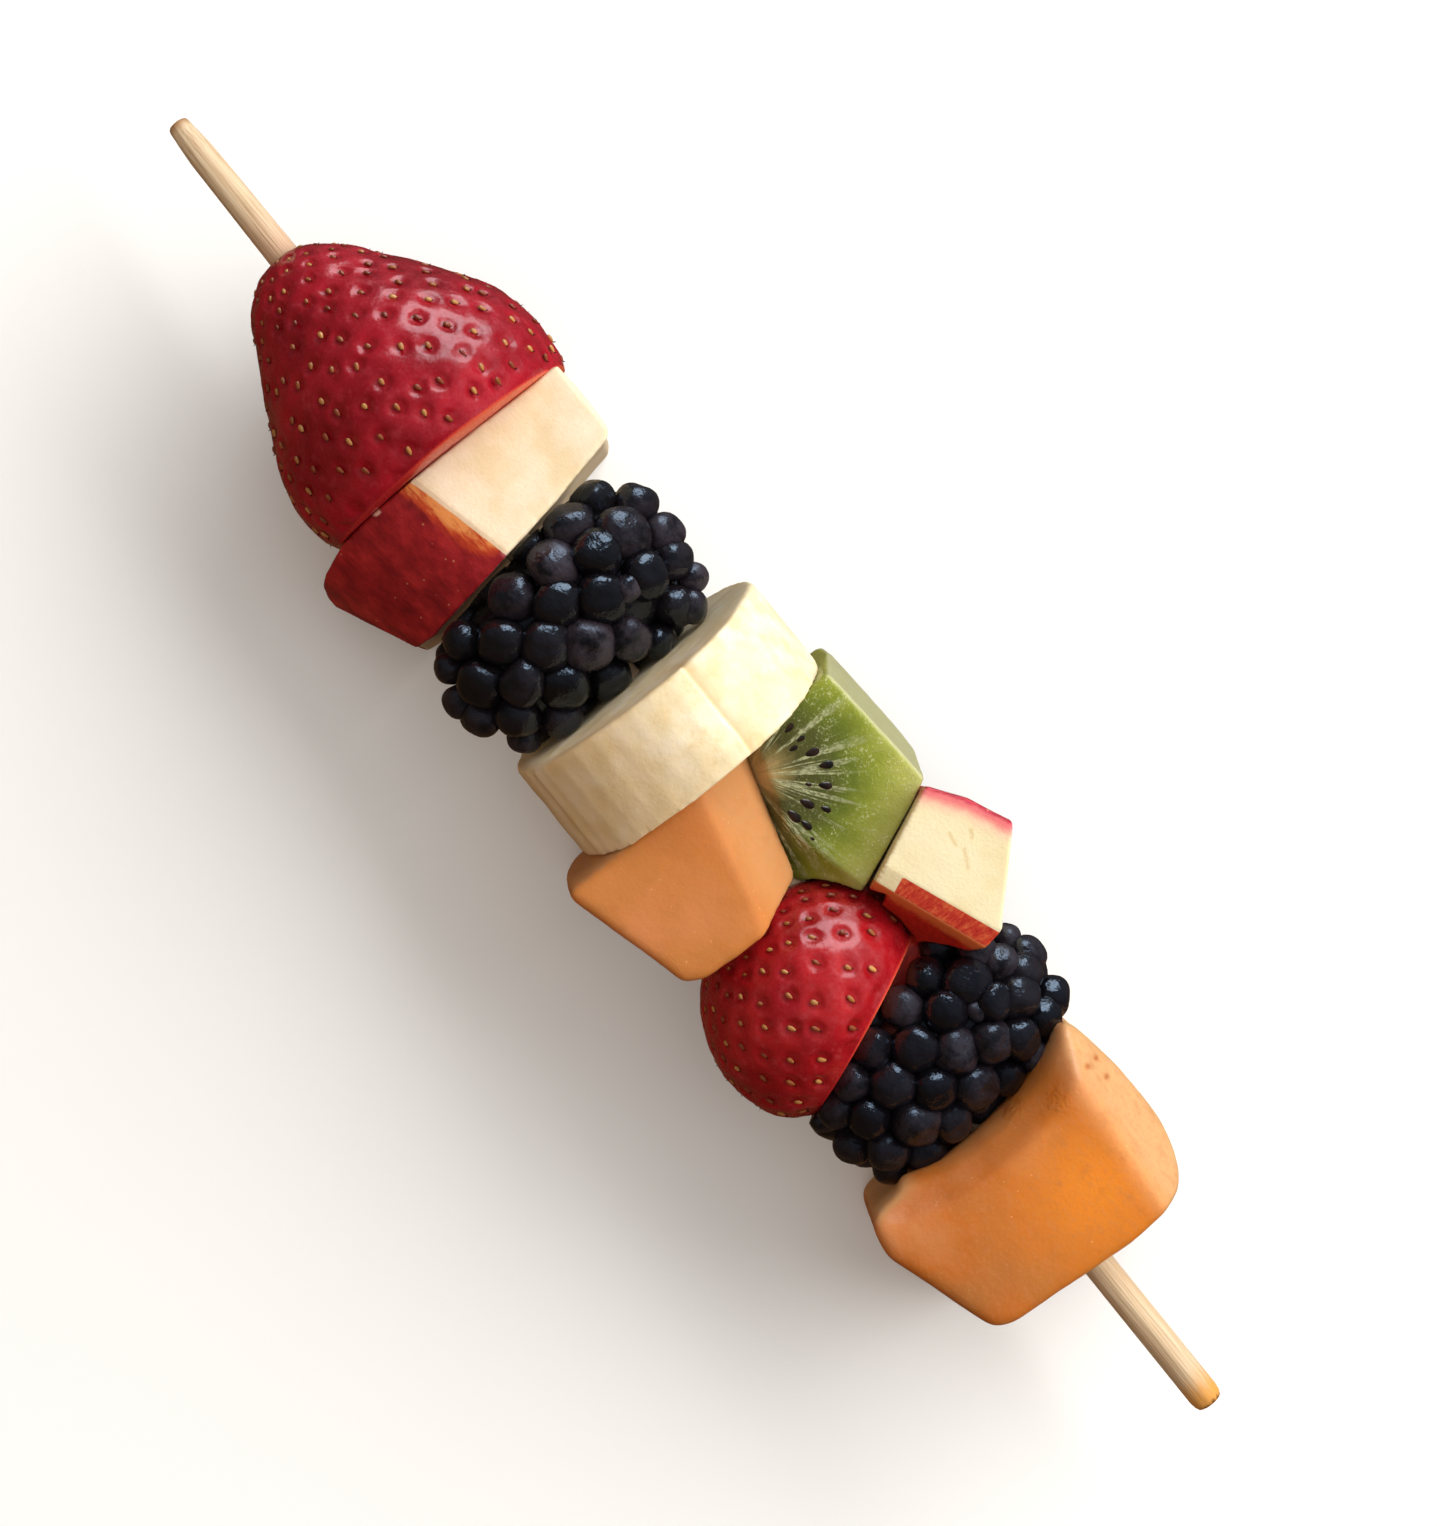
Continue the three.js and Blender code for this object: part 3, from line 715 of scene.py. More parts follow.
DRUPELET_FULLNESS = 2.45  # the same for the drupelets, which press each other a little flat


def bramble_paint(name, body, bloom):
    """Glossy black drupelets with bluish glints. The mesh carries how dull each one is."""
    paint = Paint(name, Roughness=0.2, Specular_IOR_Level=0.7, Specular_Tint=(0.6, 0.78, 1.0, 1.0))
    cloud = paint.noise(2.2, 3.0, 0.6)
    dust = paint.noise(0.4, 3.0, 0.65, seed=6.0)
    dull = paint.times(paint.attribute("dull"), paint.step(cloud, 0.3, 0.6))
    wrinkle = paint.bump(paint.noise(1.2, 3.0, 0.55, seed=1.0), 0.22)
    return paint.put(Base_Color=paint.cover(body, (dull, bloom), (dust, 0.6, 0.85, 0.0, 0.3, "3a3034")),
                     Roughness=paint.shift(dull, 0.3, paint.step(dust, 0.3, 0.75, 0.07, 0.17)),
                     Normal=paint.bump(dust, 0.03, wrinkle))


def ball(rings, sides):
    """Points and faces of a unit ball, with its poles on the z axis."""
    points = [(0.0, 0.0, -1.0)]
    for ring in range(1, rings):
        u = math.pi * ring / rings
        for k in range(sides):
            a = 2 * math.pi * (k + (ring % 2) / 2) / sides
            points.append((math.sin(u) * math.cos(a), math.sin(u) * math.sin(a), -math.cos(u)))
    points.append((0.0, 0.0, 1.0))
    faces = [(0, 1 + (k + 1) % sides, 1 + k) for k in range(sides)] + walls(rings - 2, sides, 1)
    last = 1 + (rings - 2) * sides
    top = len(points) - 1
    faces += [(top, last + k, last + (k + 1) % sides) for k in range(sides)]
    return np.array(points), faces


def rounded(along, fullness):
    """The width of a rounded body, from 0 to 1, at a place from -1 to 1 along it."""
    return (1 - np.abs(along) ** fullness) ** (1 / fullness)


def berry_shell(berry, along, around):
    """Points on the surface that the drupelets' centres lie on. `along` goes from -1 to 1."""
    shell = np.array(berry["half"]) - berry["radius"]
    along = np.clip(along, -1, 1)
    girth = rounded(along, BERRY_FULLNESS)
    x, z = np.sin(around), np.cos(around)
    girth /= (np.abs(x) ** berry["girth"] + np.abs(z) ** berry["girth"]) ** (1 / berry["girth"])
    return np.column_stack([girth * x * shell[0], along * shell[1], girth * z * shell[2]])


def drupelets(berry):
    """Centres and radii: those that show, and then others as far from them as there is room for."""
    shell = np.array(berry["half"]) - berry["radius"]
    x, y, radii = np.array(berry["shown"]).T
    along = np.clip(y / shell[1], -0.985, 0.985)
    girth = rounded(along, BERRY_FULLNESS)
    lean = np.clip(np.abs(x / (shell[0] * girth)), 0, 0.96)
    height = rounded(lean, berry["girth"])
    centres = list(np.column_stack([x, y, shell[2] * girth * height]))
    count = 4000
    k = np.arange(count)
    room = berry_shell(berry, 2 * (k + 0.5) / count - 1, GOLDEN_ANGLE * k)
    nearest = np.min([np.linalg.norm(room - centre, axis=1) for centre in centres], axis=0)
    while nearest.max() > berry["spacing"]:
        centres.append(room[nearest.argmax()])
        nearest = np.minimum(nearest, np.linalg.norm(room - centres[-1], axis=1))
    centres = np.array(centres)
    radii = list(radii * 1.04)
    for centre in centres[len(radii):]:
        apart = np.sort(np.linalg.norm(centres - centre, axis=1))[1:5].mean()
        radii.append(float(np.clip(0.64 * apart, 0.95 * berry["radius"], 1.2 * berry["radius"])))
    return centres, radii


def add_bramble(node, berry, paint, cuts):
    """Drupelets pressed together on a dark core. `cuts` are the faces of the neighbours that
    flatten them: (point, normal), where the normal points away from the berry."""
    rng = random.Random(berry["seed"])
    grain, grain_faces = ball(18, 30)
    pressed = grain / np.sum(np.abs(grain) ** DRUPELET_FULLNESS, axis=1)[:, None] ** (1 / DRUPELET_FULLNESS)
    pole = np.degrees(np.arccos(np.clip(grain[:, 2], -1, 1)))
    shell = np.array(berry["half"]) - berry["radius"]
    core, core_faces = ball(24, 36)
    core = berry_shell(berry, core[:, 1], np.arctan2(core[:, 0], core[:, 2]))
    shapes = [(core * (1 - 0.3 / shell.min()), core_faces)]
    dull = [0.0] * len(core)
    for centre, size in zip(*drupelets(berry)):
        outward = centre / shell ** 2
        outward /= np.linalg.norm(outward)
        stretch = np.array([rng.uniform(0.94, most) for most in (1.06, 1.06, 1.02)])
        lean = Vector(outward) + 0.2 * Vector([rng.uniform(-1, 1) for _ in range(3)])
        upright = np.array(Vector((0, 0, 1)).rotation_difference(lean).to_matrix())
        spin = turn_about_z(rng.uniform(0, 2 * math.pi))
        scar = rng.choice([0.0, 0.03, 0.06, 0.09])
        uneven = 1 + 0.07 * lumps(grain * 1.1 + centre, 1.3, 3.0) - scar * np.exp(-(pole / 9) ** 2)
        shape = pressed * size * stretch * uneven[:, None]
        sunk = max(size - berry["radius"], -0.5) + rng.uniform(0.0, 0.3)
        shapes.append(((shape @ spin.T) @ upright.T + centre - outward * sunk, grain_faces))
        dull += [1.0 if size < 2.0 else rng.random() ** 2] * len(grain)
    points, faces = joined(shapes)
    whole = points @ turn_about_z(berry["turn"]).T + np.array(berry["centre"])
    for point, normal in cuts:
        normal = np.array(normal, float) / np.linalg.norm(normal)
        beyond = (whole - np.array(point)) @ normal
        whole -= np.outer(np.maximum(beyond, 0), normal)
    piece = new_piece(node + "_drupelets", whole, faces)
    store(piece, "dull", dull)
    finish_piece(piece, node, paint)


# ---- apple

def apple_flesh(paint, low, mid, high, grain):
    """Moist flesh with a fine grain, of the tones given."""
    cloud = paint.noise(6.0, 3.0, 0.55)
    fine = paint.noise(0.45, 3.0, 0.7, seed=2.0)
    paint.put(Normal=paint.bump(fine, 0.06, paint.bump(cloud, 0.06)))
    flesh = paint.ramp(cloud, [(0.35, low), (0.5, mid), (0.68, high)])
    return paint.cover(flesh, (fine, 0.46, 0.74, 0.0, 0.35, grain))


def apple_base(name):
    return Paint(name, Roughness=0.42, Specular_IOR_Level=0.4, Coat_Weight=0.12, Coat_Roughness=0.25,
                 Subsurface_Weight=0.15, Subsurface_Scale=0.0015, Subsurface_Radius=(1.0, 0.75, 0.45))


def slab_paint():
    """The mesh carries how far each point lies inside the skin's outline and where it is orange."""
    paint = apple_base("apple_slab")
    flesh = apple_flesh(paint, "dfc8a0", "e7d2b2", "ecdabf", "dcc298")
    inside = paint.attribute("skin")
    ragged = paint.noise(0.7, 2.0, 0.5, seed=8.0)
    streaks = paint.noise(0.55, 4.0, 0.65, (7.0, 1.0, 1.0), 3.0)
    patches = paint.noise(2.6, 3.0, 0.6, (1.6, 1.0, 1.0), 5.0)
    orange = paint.times(paint.attribute("patch"), paint.step(streaks, 0.25, 0.6, 0.55, 1.25))
    orange = paint.times(orange, paint.step(patches, 0.3, 0.55, 0.6, 1.15))
    line = paint.times(paint.step(inside, 0.55, 0.15), paint.step(orange, 0.3, 0.05))
    skin = paint.cover(
        paint.ramp(patches, [(0.32, "74121a"), (0.5, "901a22"), (0.7, "b0282c")]),
        (streaks, 0.5, 0.7, 0.0, 0.35, "a82420"),
        (orange, 0.1, 0.55, "c0401e"),
        (orange, 0.4, 0.95, "e8924e"),
        (paint.cells(2.0, 1.0), 0.05, 0.10, 0.5, 0.0, "cc8a68"),
        (paint.times(line, 0.5), "d87078"))
    on_skin = paint.step(paint.shift(ragged, 0.18, inside), 0.04, 0.14)
    base = paint.cover(flesh, (inside, -1.3, 0.0, 0.0, 0.35, "efc8a4"), (on_skin, skin),
                       (paint.attribute("nick"), "e8b7a0"))
    return paint.put(Base_Color=base, Roughness=paint.step(on_skin, 0.0, 1.0, 0.42, 0.24),
                     Subsurface_Weight=paint.step(on_skin, 0.0, 1.0, 0.15, 0.0))


SLAB_SKIN = [(-5.2, 10.8), (-20.0, 7.5), (-24.5, -9.0)]
SLAB_SKIN_FOOT = (-22.0, -15.5)
SLAB_START = 50.0
SLAB_SKIN_DEPTH = 0.75
SLAB_TOP = 10.8
SLAB_LEAN = math.radians(13)
SLAB_COS, SLAB_SIN = math.cos(SLAB_LEAN), math.sin(SLAB_LEAN)
SLAB_BORDER = [(50.0, -6.1), (53.7, -5.2), (57.1, -4.3), (60.2, -3.5), (64.1, -2.6), (67.6, -1.8), (70, -1.3)]
SLAB_ORANGE = [(52.0, 0.5), (54.0, 0.8), (58.0, 0.85), (62.0, 1.0), (65.0, 0.8), (67.5, 0.1)]
SLAB_NICKS = [(53.7, -10.6), (57.0, -22.4)]


def slab_skin(points):
    """How far each point lies from the slab's smooth curved skin, and the way there."""
    u = np.linspace(0, 1, 3000)[:, None]
    a, b, c = np.array(SLAB_SKIN)
    curve = (1 - u) ** 2 * a + 2 * u * (1 - u) * b + u ** 2 * c
    curve = np.vstack([curve, np.linspace(c, SLAB_SKIN_FOOT, 800)])
    tree = search_tree([(across, height, 0.0) for across, height in curve])
    s, t, heights = points.T
    along = s - SLAB_START
    across = -along * SLAB_SIN + t * SLAB_COS
    found = [tree.find((y, z, 0.0)) for y, z in zip(across, heights)]
    step = np.array([(place.x - y, place.y - z) for (place, _, _), y, z in zip(found, across, heights)])
    way = np.column_stack([-step[:, 0] * SLAB_SIN, step[:, 0] * SLAB_COS, step[:, 1]])
    return np.array([distance for _, _, distance in found]), way


def add_apple_slab():
    piece = fine_copy("apple_slab", "apple_slab_fruit", 0.28, 7)
    points = points_of(piece)
    s, t, z = points.T
    along = (s - SLAB_START) * SLAB_COS + t * SLAB_SIN
    tuck = np.clip(0.09 * (SLAB_TOP - z), 0, 1.2) * rise(along, along.max() - 5, along.max() - 0.5)
    points -= np.outer(tuck, [SLAB_COS, SLAB_SIN, 0.0])
    depth, way = slab_skin(points)
    move_points(piece, points + way * (1 - rise(depth, 0.2, 0.45))[:, None])
    beyond = np.interp(s, *zip(*SLAB_BORDER)) - t
    outer = 2.0 * rise(-read(piece, "normal")[:, 1], 0.3, 0.5) - 1.0
    store(piece, "skin", np.minimum(np.maximum(SLAB_SKIN_DEPTH - depth, outer), beyond))
    orange = np.interp(s, *zip(*SLAB_ORANGE))
    store(piece, "patch", orange * np.exp(-(np.maximum(beyond, 0) / 2.0) ** 2))
    nicks = rise(spots(points, SLAB_NICKS, 0.35), 0.3, 0.6)
    store(piece, "nick", nicks * rise(z, -3.0, 0.0))
    roughen(piece, [(9.0, 0.08), (2.4, 0.03)], -0.12)
    finish_piece(piece, "apple_slab", slab_paint())


# The chunk's upper corners, seen from above, and its cut strip of skin.
CHUNK_EDGE = [(121.5, 20.0), (125.8, 23.0), (131.1, 25.3)]
STRIP_TOP = [(128.1, 11.1), (140.5, 15.9)]
STRIP_FOOT = [(128.9, 9.2), (140.8, 13.6)]
KIWI_SIDE = ((127.0, 7.3), (121.5, 20.0))
CHUNK_MARKS = [((127.5, 18.7), (129.1, 18.4)), ((130.1, 18.9), (132.2, 17.8)), ((128.8, 21.0), (129.7, 20.4))]
STRIP_LOWEST = 11.6
FRONT_LOWEST = 3.0


def chunk_paint():
    """The mesh carries distances: from the pink edge, into the strip, under it, and to each mark. Under the
    strip the flesh is painted dark red, as shade and the strawberry's red reflection, with a lit orange band
    along the strip's foot.
    """
    paint = apple_base("apple_chunk")
    flesh = apple_flesh(paint, "f6e9ce", "fcf4e0", "fdf7e9", "f0e0bc")
    wave = paint.noise(1.6, 2.0, 0.5, seed=11.0)
    edge = paint.attribute("edge")
    ragged = paint.shift(wave, 0.8, edge)
    blush = paint.noise(3.0, 4.0, 0.6, (1.0, 1.0, 0.4), 6.0)
    rind = paint.cover(
        paint.ramp(blush, [(0.32, "8c1424"), (0.5, "a81c2c"), (0.66, "c43a40")]),
        (paint.cells(2.0, 2.0), 0.05, 0.10, 0.6, 0.0, "d89a80"))
    streaks = paint.noise(0.5, 4.0, 0.6, (1.0, 4.0, 1.0), 3.0)
    strip = paint.ramp(streaks, [(0.32, "b0201c"), (0.5, "c63e28"), (0.68, "d86a3c")])
    under = paint.shift(wave, 0.8, paint.attribute("under"))
    # Painted shade and reflected strawberry red on the flesh under the strip, with a lit orange band just
    # below the strip.
    red = paint.cover("a81c18", (streaks, 0.35, 0.65, "c03020"), (under, 0.9, 1.7, 1.0, 0.0, "d46c3a"))
    return paint.put(Base_Color=paint.cover(
               flesh,
               # Painted shade, tinted green by the kiwi, on the flesh next to it.
               (paint.attribute("painted_kiwi_shade"), 0.0, 5.0, 0.6, 0.0, "d9c688"),
               (ragged, 1.4, 3.4, 0.8, 0.0, "f0b8a0"),
               (ragged, 1.0, 2.3, 0.9, 0.0, "e06a70"),
               (ragged, 0.5, 1.0, 1.0, 0.0, "c43450"),
               (edge, 0.12, 0.3, 1.0, 0.0, rind),
               (paint.attribute("mark"), 0.05, 0.4, 0.4, 0.0, "c9a45c"),
               (paint.attribute("front"), -0.06, 0.06, red),
               (paint.attribute("strip"), -0.05, 0.05, strip)))


def beyond_line(points, line):
    """How far each point lies to the right of a line, seen from above."""
    a, b = np.array(line, float)
    ahead = (b - a) / np.linalg.norm(b - a)
    return (points[:, :2] - a) @ np.array([ahead[1], -ahead[0]])


def from_segment(points, a, b):
    """Distance of each point from a straight stroke, seen from above."""
    a, b = np.array(a, float), np.array(b, float)
    along = np.clip((points[:, :2] - a) @ (b - a) / ((b - a) @ (b - a)), 0, 1)
    return np.linalg.norm(points[:, :2] - a - along[:, None] * (b - a), axis=1)


def add_apple_chunk():
    piece = fine_copy("apple_chunk", "apple_chunk_fruit", 0.25, 2)
    points = points_of(piece)
    s, t, z = points.T
    edges = [np.maximum(beyond_line(points, pair), 0) for pair in zip(CHUNK_EDGE, CHUNK_EDGE[1:])]
    store(piece, "edge", np.minimum(*edges))
    below = beyond_line(points, STRIP_FOOT)
    left_end = -beyond_line(points, (STRIP_TOP[0], STRIP_FOOT[0]))
    high = z - STRIP_LOWEST
    store(piece, "strip", np.minimum.reduce([beyond_line(points, STRIP_TOP), -below, left_end, high]))
    store(piece, "under", below)
    # Below the strip and above 3 mm: where the flesh is painted with shade and red reflection.
    store(piece, "front", np.minimum(below, z - FRONT_LOWEST))
    # Distance from the kiwi's side, which also places the painted shade next to the kiwi.
    beside_kiwi = -beyond_line(points, KIWI_SIDE)
    store(piece, "painted_kiwi_shade", beside_kiwi)
    store(piece, "mark", np.min([from_segment(points, a, b) for a, b in CHUNK_MARKS], axis=0))
    a, b = np.array(KIWI_SIDE)
    towards = np.array([b[1] - a[1], a[0] - b[0], 0.0]) / np.linalg.norm(b - a)
    points += np.outer(0.25 * (1 - rise(beside_kiwi, 0.3, 1.2)), -towards)
    move_points(piece, points)
    roughen(piece, [(6.0, 0.06), (2.0, 0.02)], -0.14)
    finish_piece(piece, "apple_chunk", chunk_paint())


# ---- banana

BANANA_CENTRE_T = 0.8
BANANA_RADIUS = 18.5
BANANA_GROOVE = 0.30  # angle from the top at which the peeled fruit has its groove
BANANA_GROOVE_DEPTH = 0.42
BANANA_CORNER = -1.07  # angle at which its side turns down


def banana_paint():
    """Soft flesh, blotched with cream and ochre, with a few fine creases. Its groove gets a painted ochre
    shade, and the side away from the daylight a painted tan shade.
    """
    paint = Paint("banana_flesh", Roughness=0.5, Specular_IOR_Level=0.35, Subsurface_Weight=0.2,
                  Subsurface_Scale=0.0018, Subsurface_Radius=(1.0, 0.8, 0.45))
    cloud = paint.noise(3.4, 4.0, 0.6)
    wide = paint.noise(9.0, 2.0, 0.5, seed=6.0)
    creases = paint.noise(2.2, 3.0, 0.6, (1.0, 1.4, 1.4), 2.0)
    fine = paint.noise(0.5, 3.0, 0.6, seed=4.0)
    off = paint.maths("ABSOLUTE", paint.maths("SUBTRACT", creases, 0.5))
    line = paint.times(paint.step(off, 0.003, 0.016, 1.0, 0.0), paint.step(cloud, 0.4, 0.55, 0.25, 0.0))
    base = paint.cover(
        paint.ramp(cloud, [(0.33, "e8d3a6"), (0.46, "eedeb9"), (0.6, "f3e6c9"), (0.72, "f5ecd8")]),
        (wide, 0.42, 0.62, 0.35, 0.0, "dcc394"),
        (line, "cdaa70"),
        # Painted shade: darker ochre in the groove.
        (paint.times(paint.attribute("groove"), 0.5), "d2ac6c"),
        (fine, 0.55, 0.8, 0.0, 0.2, "e0cb9c"),
        # Painted shade: tan flesh on the side away from the daylight.
        (paint.attribute("painted_shade_side"), "c4a070"))
    relief = paint.bump(creases, 0.05, paint.bump(cloud, 0.10))
    return paint.put(Base_Color=base, Normal=paint.bump(fine, 0.04, relief))


def add_banana():
    piece = fine_copy("banana_slice", "banana_fruit", 0.32, 8)
    points = points_of(piece)
    s, t, z = points.T
    angle = np.arctan2(t - BANANA_CENTRE_T, z)
    around = np.hypot(t - BANANA_CENTRE_T, z) / BANANA_RADIUS
    outside = rise(around, 0.86, 0.95)
    wander = 0.012 * lumps(points * [1.0, 0.0, 0.0], 5.0, 2.0)
    beyond = (angle - BANANA_GROOVE - wander) * BANANA_RADIUS
    groove = np.where(beyond < 0, np.exp(-(beyond / 0.22) ** 2), np.exp(-np.abs(beyond) / 1.3))
    corner = (angle - BANANA_CORNER) * BANANA_RADIUS
    ridge = 0.16 * np.exp(-(corner / 0.9) ** 2) - 0.18 * np.exp(-((corner + 2.2) / 1.4) ** 2)
    outward = np.column_stack([np.zeros(len(points)), np.sin(angle), np.cos(angle)])
    move_points(piece, points + outward * ((ridge - BANANA_GROOVE_DEPTH * groove) * outside)[:, None])
    # The groove's mask also carries its painted shade.
    store(piece, "groove", groove * outside)
    # Painted shade, stronger towards -t, the side away from the daylight.
    store(piece, "painted_shade_side", 0.5 * rise(-t, -5.0, 7.0) * outside)
    roughen(piece, [(8.0, 0.12), (2.6, 0.05)], -0.05)
    finish_piece(piece, "banana_slice", banana_paint())


# ---- melon

MELON_MIDDLE_GLOW = (108.5, -3.1, 12.0)
MELON_END_GLOW = (171.7, 5.6, 12.0)
# Each melon chunk's ridge, beyond which it faces the daylight and is painted paler, as light and sheen: its
# two ends, seen from above.
MELON_MIDDLE_RIDGE = [(104.0, -2.0), (117.0, -3.6)]
MELON_END_RIDGE = [(156.0, 12.2), (178.0, 10.2)]
MELON_END_WET = [(160.9, 9.2, 11.5), (158.6, 3.6, 8.0)]
MELON_END_DIMPLES = [(159.7, 13.7), (159.9, 15.2), (162.4, 14.8)]


def melon_paint(name, deep, mid, pale, glow, bright):
    """Moist orange flesh. The mesh carries where it glows, where it is painted paler as light and sheen,
    where it is wet, and its dimples.
    """
    paint = Paint(name, Roughness=0.45, Specular_IOR_Level=0.35, Coat_Weight=0.12, Coat_Roughness=0.25,
                  Subsurface_Weight=0.45, Subsurface_Scale=0.004, Subsurface_Radius=(1.0, 0.42, 0.15))
    cloud = paint.noise(12.0, 2.0, 0.5)
    fine = paint.noise(0.5, 3.0, 0.6, seed=2.0)
    fibre = paint.noise(0.9, 3.0, 0.6, (1.8, 1.0, 1.0), 5.0)
    mottle = paint.noise(2.2, 4.0, 0.65, seed=12.0)
    speck = paint.step(paint.cells(1.15, 4.0), 0.05, 0.14, 0.35, 0.0)
    some = paint.step(paint.noise(3.0, 2.0, 0.5, seed=9.0), 0.5, 0.65)
    base = paint.cover(
        paint.ramp(cloud, [(0.32, deep), (0.5, mid), (0.7, pale)]),
        (paint.attribute("glow"), glow),
        # Painted light and sheen: paler flesh where it faces the daylight and on the left facet.
        (paint.attribute("bright"), bright),
        (fibre, 0.50, 0.74, 0.0, 0.35, pale),
        (fine, 0.48, 0.74, 0.0, 0.35, pale),
        (mottle, 0.5, 0.72, 0.0, 0.3, deep),
        (paint.times(speck, some), "f0c890"),
        (paint.attribute("dimple"), "a85c22"))
    wet = paint.attribute("wet")
    drops = paint.times(wet, paint.noise(1.0, 2.0, 0.6, seed=6.0))
    relief = paint.bump(fine, 0.05, paint.bump(mottle, 0.05))
    return paint.put(Base_Color=base, Roughness=paint.step(wet, 0.2, 0.8, 0.42, 0.14),
                     Normal=paint.bump(drops, 0.35, relief))


def near(points, place, reach):
    """1 at a place, and less away from it."""
    return np.exp(-(np.linalg.norm(points - np.array(place), axis=1) / reach) ** 2)


def add_melon(node, name, voxel, softening, glow, reach, wet, dimples, slant, paint):
    piece = fine_copy(node, name, voxel, softening)
    points = points_of(piece)
    s, t, z = points.T
    (s0, t0), (s1, t1) = slant
    bright_from = np.interp(s, [s0, s1], [t0, t1])
    store(piece, "glow", near(points, glow, reach))
    # Painted light: paler flesh beyond the ridge, towards the daylight, and on the left facet.
    painted_light_beyond_ridge = rise(t - bright_from, -2.5, 2.5)
    painted_light_facet = 0.9 * rise(-read(piece, "normal")[:, 0], 0.6, 0.9) * rise(-t, 10.0, 13.0)
    store(piece, "bright", np.maximum(painted_light_beyond_ridge, painted_light_facet))
    damp = [near(points, place, 1.9) for place in wet]
    store(piece, "wet", np.max([np.zeros(len(points)), *damp], axis=0))
    store(piece, "dimple", spots(points, dimples, 0.12) * (z > 0))
    roughen(piece, [(12.0, 0.16), (4.0, 0.05), (1.3, 0.015)], -0.3)
    finish_piece(piece, node, paint)


# ---- kiwi

KIWI_CORE = (106.84, 4.17)
KIWI_TOP = 7.4
KIWI_BOTTOM = -9.5
# Seeds that show in the cut face: (distance from the core's middle, bearing, half length).
KIWI_SEEDS = [(7.7, 100, 1.0), (7.8, 86, 0.8), (6.5, 82, 0.9), (8.3, 71, 1.15), (9.6, 59, 1.1),
              (9.5, 44, 1.0), (7.4, 43, 0.5), (7.9, 26, 1.1), (10.3, 28, 0.8), (7.4, 10, 1.15),
              (9.3, 11, 0.9), (10.9, 7, 0.4)]


def kiwi_paint():
    """Green flesh that darkens towards the seeds, with pale rays from a tan core."""
    paint = Paint("kiwi_flesh", Roughness=0.32, Specular_IOR_Level=0.45, Coat_Weight=0.25,
                  Coat_Roughness=0.15, Subsurface_Weight=0.25, Subsurface_Scale=0.002,
                  Subsurface_Radius=(0.8, 1.0, 0.3))
    x, y, _ = paint.parts(paint.vector("SUBTRACT", paint.point, [*KIWI_CORE, 0.0]))
    flat = paint.join(x, y, 0.0)
    radius = paint.vector("LENGTH", flat)
    ax, ay, _ = paint.parts(paint.vector("NORMALIZE", flat))
    ray = paint.noise(0.085, 2.0, 0.6, point=paint.join(ax, ay, paint.times(radius, 0.005)))
    wave = paint.noise(2.2, 2.0, 0.5, seed=4.0)
    sector = paint.noise(0.28, 1.0, 0.5, point=paint.join(ax, ay, 0.7))
    reach = paint.shift(wave, 3.0, paint.shift(sector, 5.0, radius))
    long = paint.join(paint.times(ax, 11.0), paint.times(ay, 11.0), paint.times(radius, 0.45))
    grains = paint.noise(0.32, 2.0, 0.65, point=long)
    dots = paint.noise(0.34, 2.0, 0.7, seed=3.0)
    outward = paint.step(radius, 17.5, 9.0, 0.12, 0.85)
    strength = paint.times(paint.step(radius, 1.5, 4.0), outward)
    rays = paint.times(paint.step(ray, 0.535, 0.60), paint.step(grains, 0.38, 0.60, 0.2, 1.0))
    crowd = paint.times(paint.step(wave, 0.35, 0.65), paint.step(radius, 5.0, 14.0, 0.15, 0.62))
    base = paint.cover(
        paint.ramp(paint.maths("DIVIDE", reach, 28.0), [
            (0.20, "b29462"), (0.27, "7c6e40"), (0.34, "45431f"), (0.48, "4a4f1e"), (0.58, "64701f"),
            (0.68, "87902e"), (0.80, "a6a850"), (0.95, "aeae6e")]),
        (paint.attribute("flank"), "b4b286"),
        (paint.times(rays, strength), "a9ac84"),
        (paint.times(paint.step(dots, 0.56, 0.66), crowd), "c9cc9c"))
    return paint.put(Base_Color=base, Normal=paint.bump(ray, 0.08, paint.bump(dots, 0.10)))


def kiwi_seed_paint():
    paint = Paint("kiwi_seed", Roughness=0.3, Specular_IOR_Level=0.5, Coat_Weight=0.5, Coat_Roughness=0.12)
    tone = paint.noise(1.5, 2.0, 0.5)
    return paint.put(Base_Color=paint.ramp(tone, [(0.4, "0c0806"), (0.65, "24140e")]),
                     Normal=paint.bump(paint.noise(0.3, 2.0, 0.6), 0.05))


def add_kiwi():
    piece = fine_copy("kiwi_chunk", "kiwi_fruit", 0.26, 8)
    store(piece, "flank", rise(read(piece, "normal")[:, 1], 0.25, 0.75))
    roughen(piece, [(8.0, 0.08), (1.8, 0.03)], -0.2)
    finish_piece(piece, "kiwi_chunk", kiwi_paint())
    add_kiwi_seeds()


def add_kiwi_seeds():
    """Flat drop-shaped seeds, half sunk in the two cut faces and pointing at the core."""
    grain, grain_faces = ball(10, 14)
    narrow = 1 + 0.35 * grain[:, 0]
    shapes = []
    for level in (KIWI_TOP, KIWI_BOTTOM):
        for distance, bearing, half in KIWI_SEEDS:
            angle = math.radians(bearing)
            ahead = np.array([math.cos(angle), math.sin(angle), 0.0])
            aside = np.array([-math.sin(angle), math.cos(angle), 0.0])
            shape = (np.outer(grain[:, 0] * half, ahead) + np.outer(grain[:, 1] * 0.52 * half * narrow, aside)
                     + np.outer(grain[:, 2] * 0.3, [0, 0, 1]))
            place = np.array([*KIWI_CORE, level]) + ahead * distance
            place[2] += math.copysign(0.02, level)
            shapes.append((shape + place, grain_faces))
    piece = new_piece("kiwi_seeds", *joined(shapes))
    finish_piece(piece, "kiwi_chunk", kiwi_seed_paint())


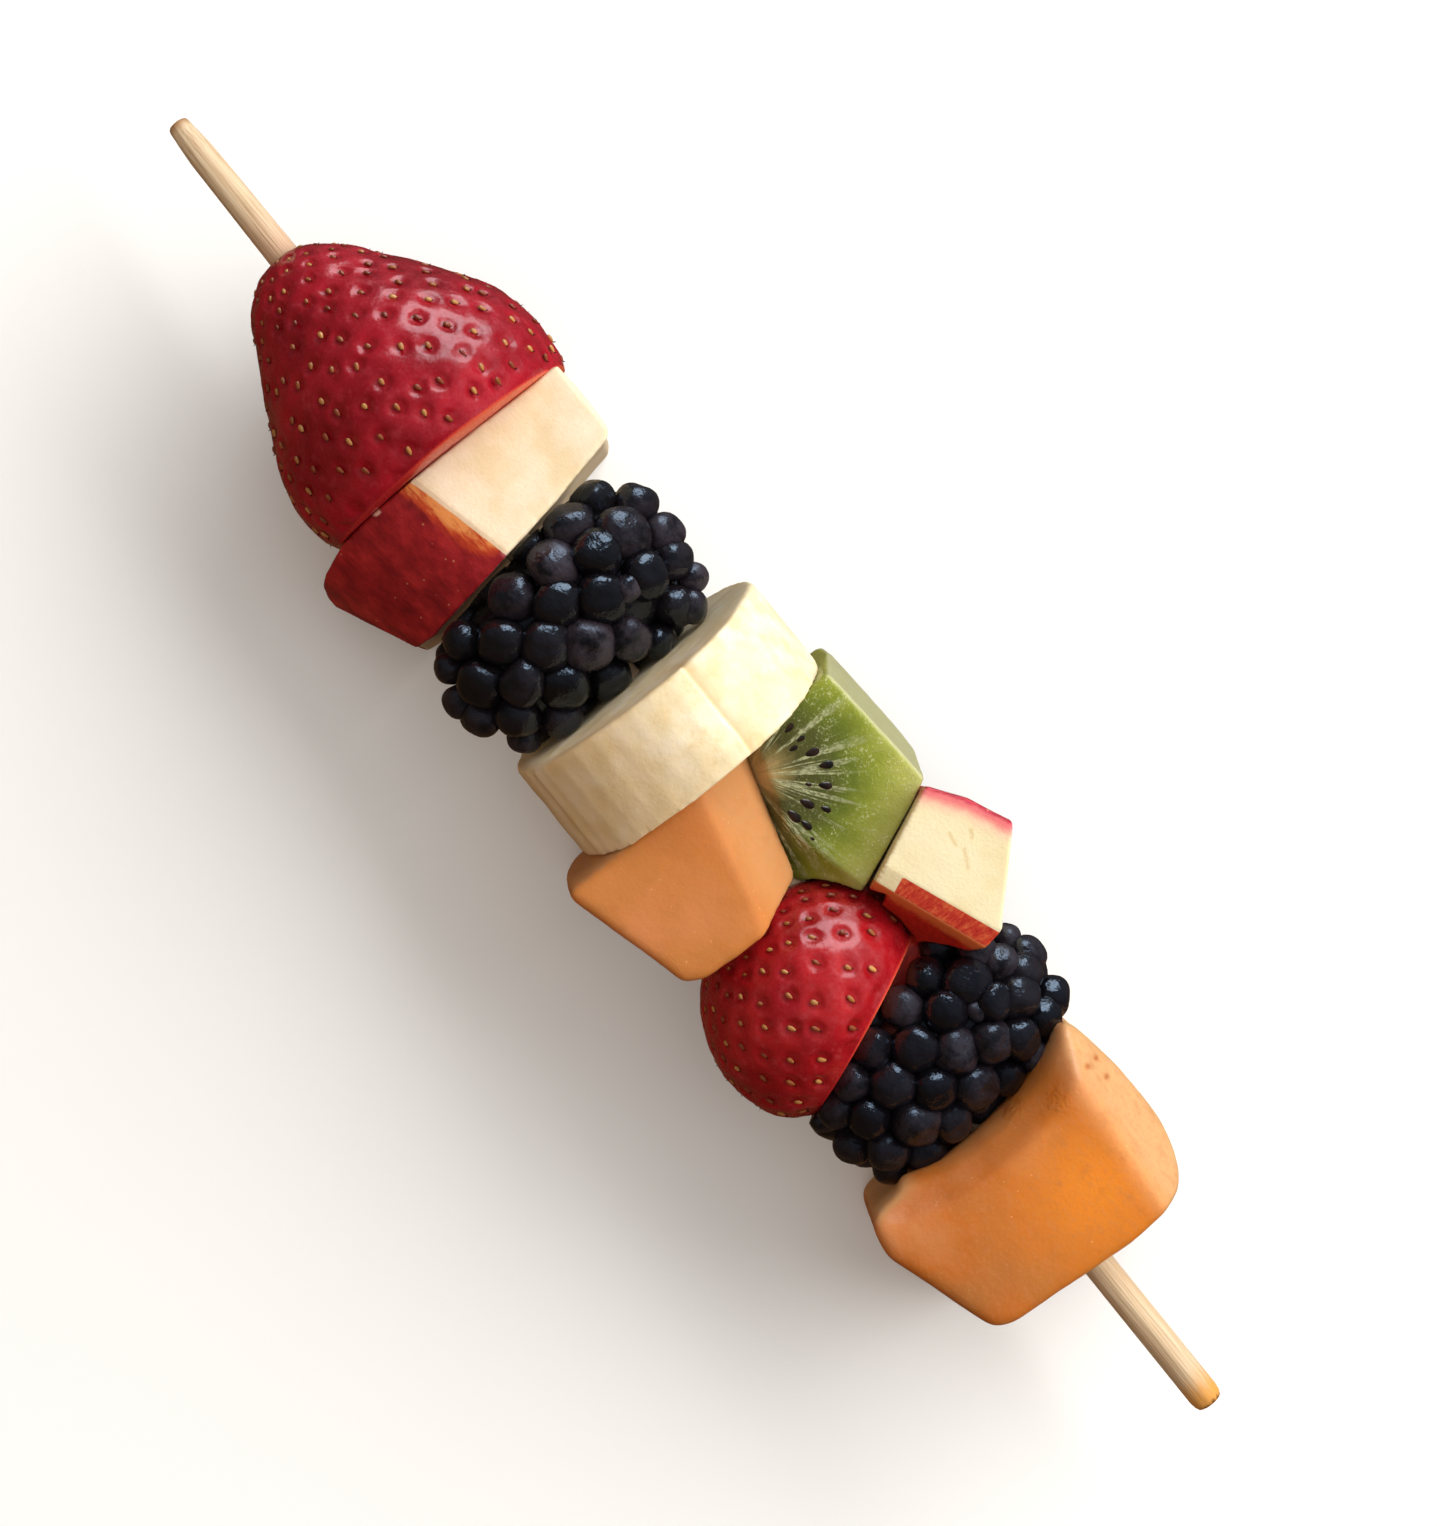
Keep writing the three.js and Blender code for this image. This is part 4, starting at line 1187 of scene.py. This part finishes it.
# ---- floor

FLOOR_HALF = 30000.0


def add_floor():
    paint = Paint("floor", Roughness=0.7, Specular_IOR_Level=0.2)
    paint.put(Base_Color=paint.mix(paint.noise(60.0, 2.0), "f6f6f5", "f9f9f8"))
    sides = ((-1, -1), (1, -1), (1, 1), (-1, 1))
    corners = [(x * FLOOR_HALF, y * FLOOR_HALF, -REST_HEIGHT) for x, y in sides]
    floor = new_piece("floor", corners, [(0, 1, 2, 3)])
    floor.data.materials.append(paint.material)
    floor.visible_glossy = False
    floor.visible_diffuse = False


# ---- the scene

ACHENE_PAINT = achene_paint()

add_camera()
add_light()
add_floor()
add_stick()
add_strawberry("strawberry_large", STRAWBERRY_LARGE, 400, 150,
               strawberry_paint("strawberry_large", "800a18", "9c1222", "a83440"), 1.7, 0.4)
add_strawberry("strawberry_small", STRAWBERRY_SMALL, 330, 110,
               strawberry_paint("strawberry_small", "8c0c16", "a4181e", "b04044"), 6.1, 1.3)
add_bramble("bramble_upper", BRAMBLE_UPPER, bramble_paint("bramble_upper", "0c0a0c", "30282e"),
            [((67.9, 0, 0), (-1, -0.15, 0)), ((88.1, 0, 0), (1, 0, -math.tan(math.radians(11))))])
add_bramble("bramble_lower", BRAMBLE_LOWER, bramble_paint("bramble_lower", "0b090d", "2a242a"),
            [((139.3 + 0.3 * SMALL_AXIS.x, -4.0 + 0.3 * SMALL_AXIS.y, 0), tuple(-SMALL_AXIS))])
add_apple_slab()
add_apple_chunk()
add_banana()
add_melon("melon_middle", "melon_middle_fruit", 0.28, 60, MELON_MIDDLE_GLOW, 6.0, [], [],
          MELON_MIDDLE_RIDGE,
          melon_paint("melon_middle", "b0703a", "bd783c", "c67e4a", "c2763a", "bd8553"))
add_melon("melon_end", "melon_end_fruit", 0.32, 90, MELON_END_GLOW, 9.5, MELON_END_WET, MELON_END_DIMPLES,
          MELON_END_RIDGE,
          melon_paint("melon_end", "ac6a32", "b86828", "c27e4c", "de8426", "d2a06e"))
add_kiwi()
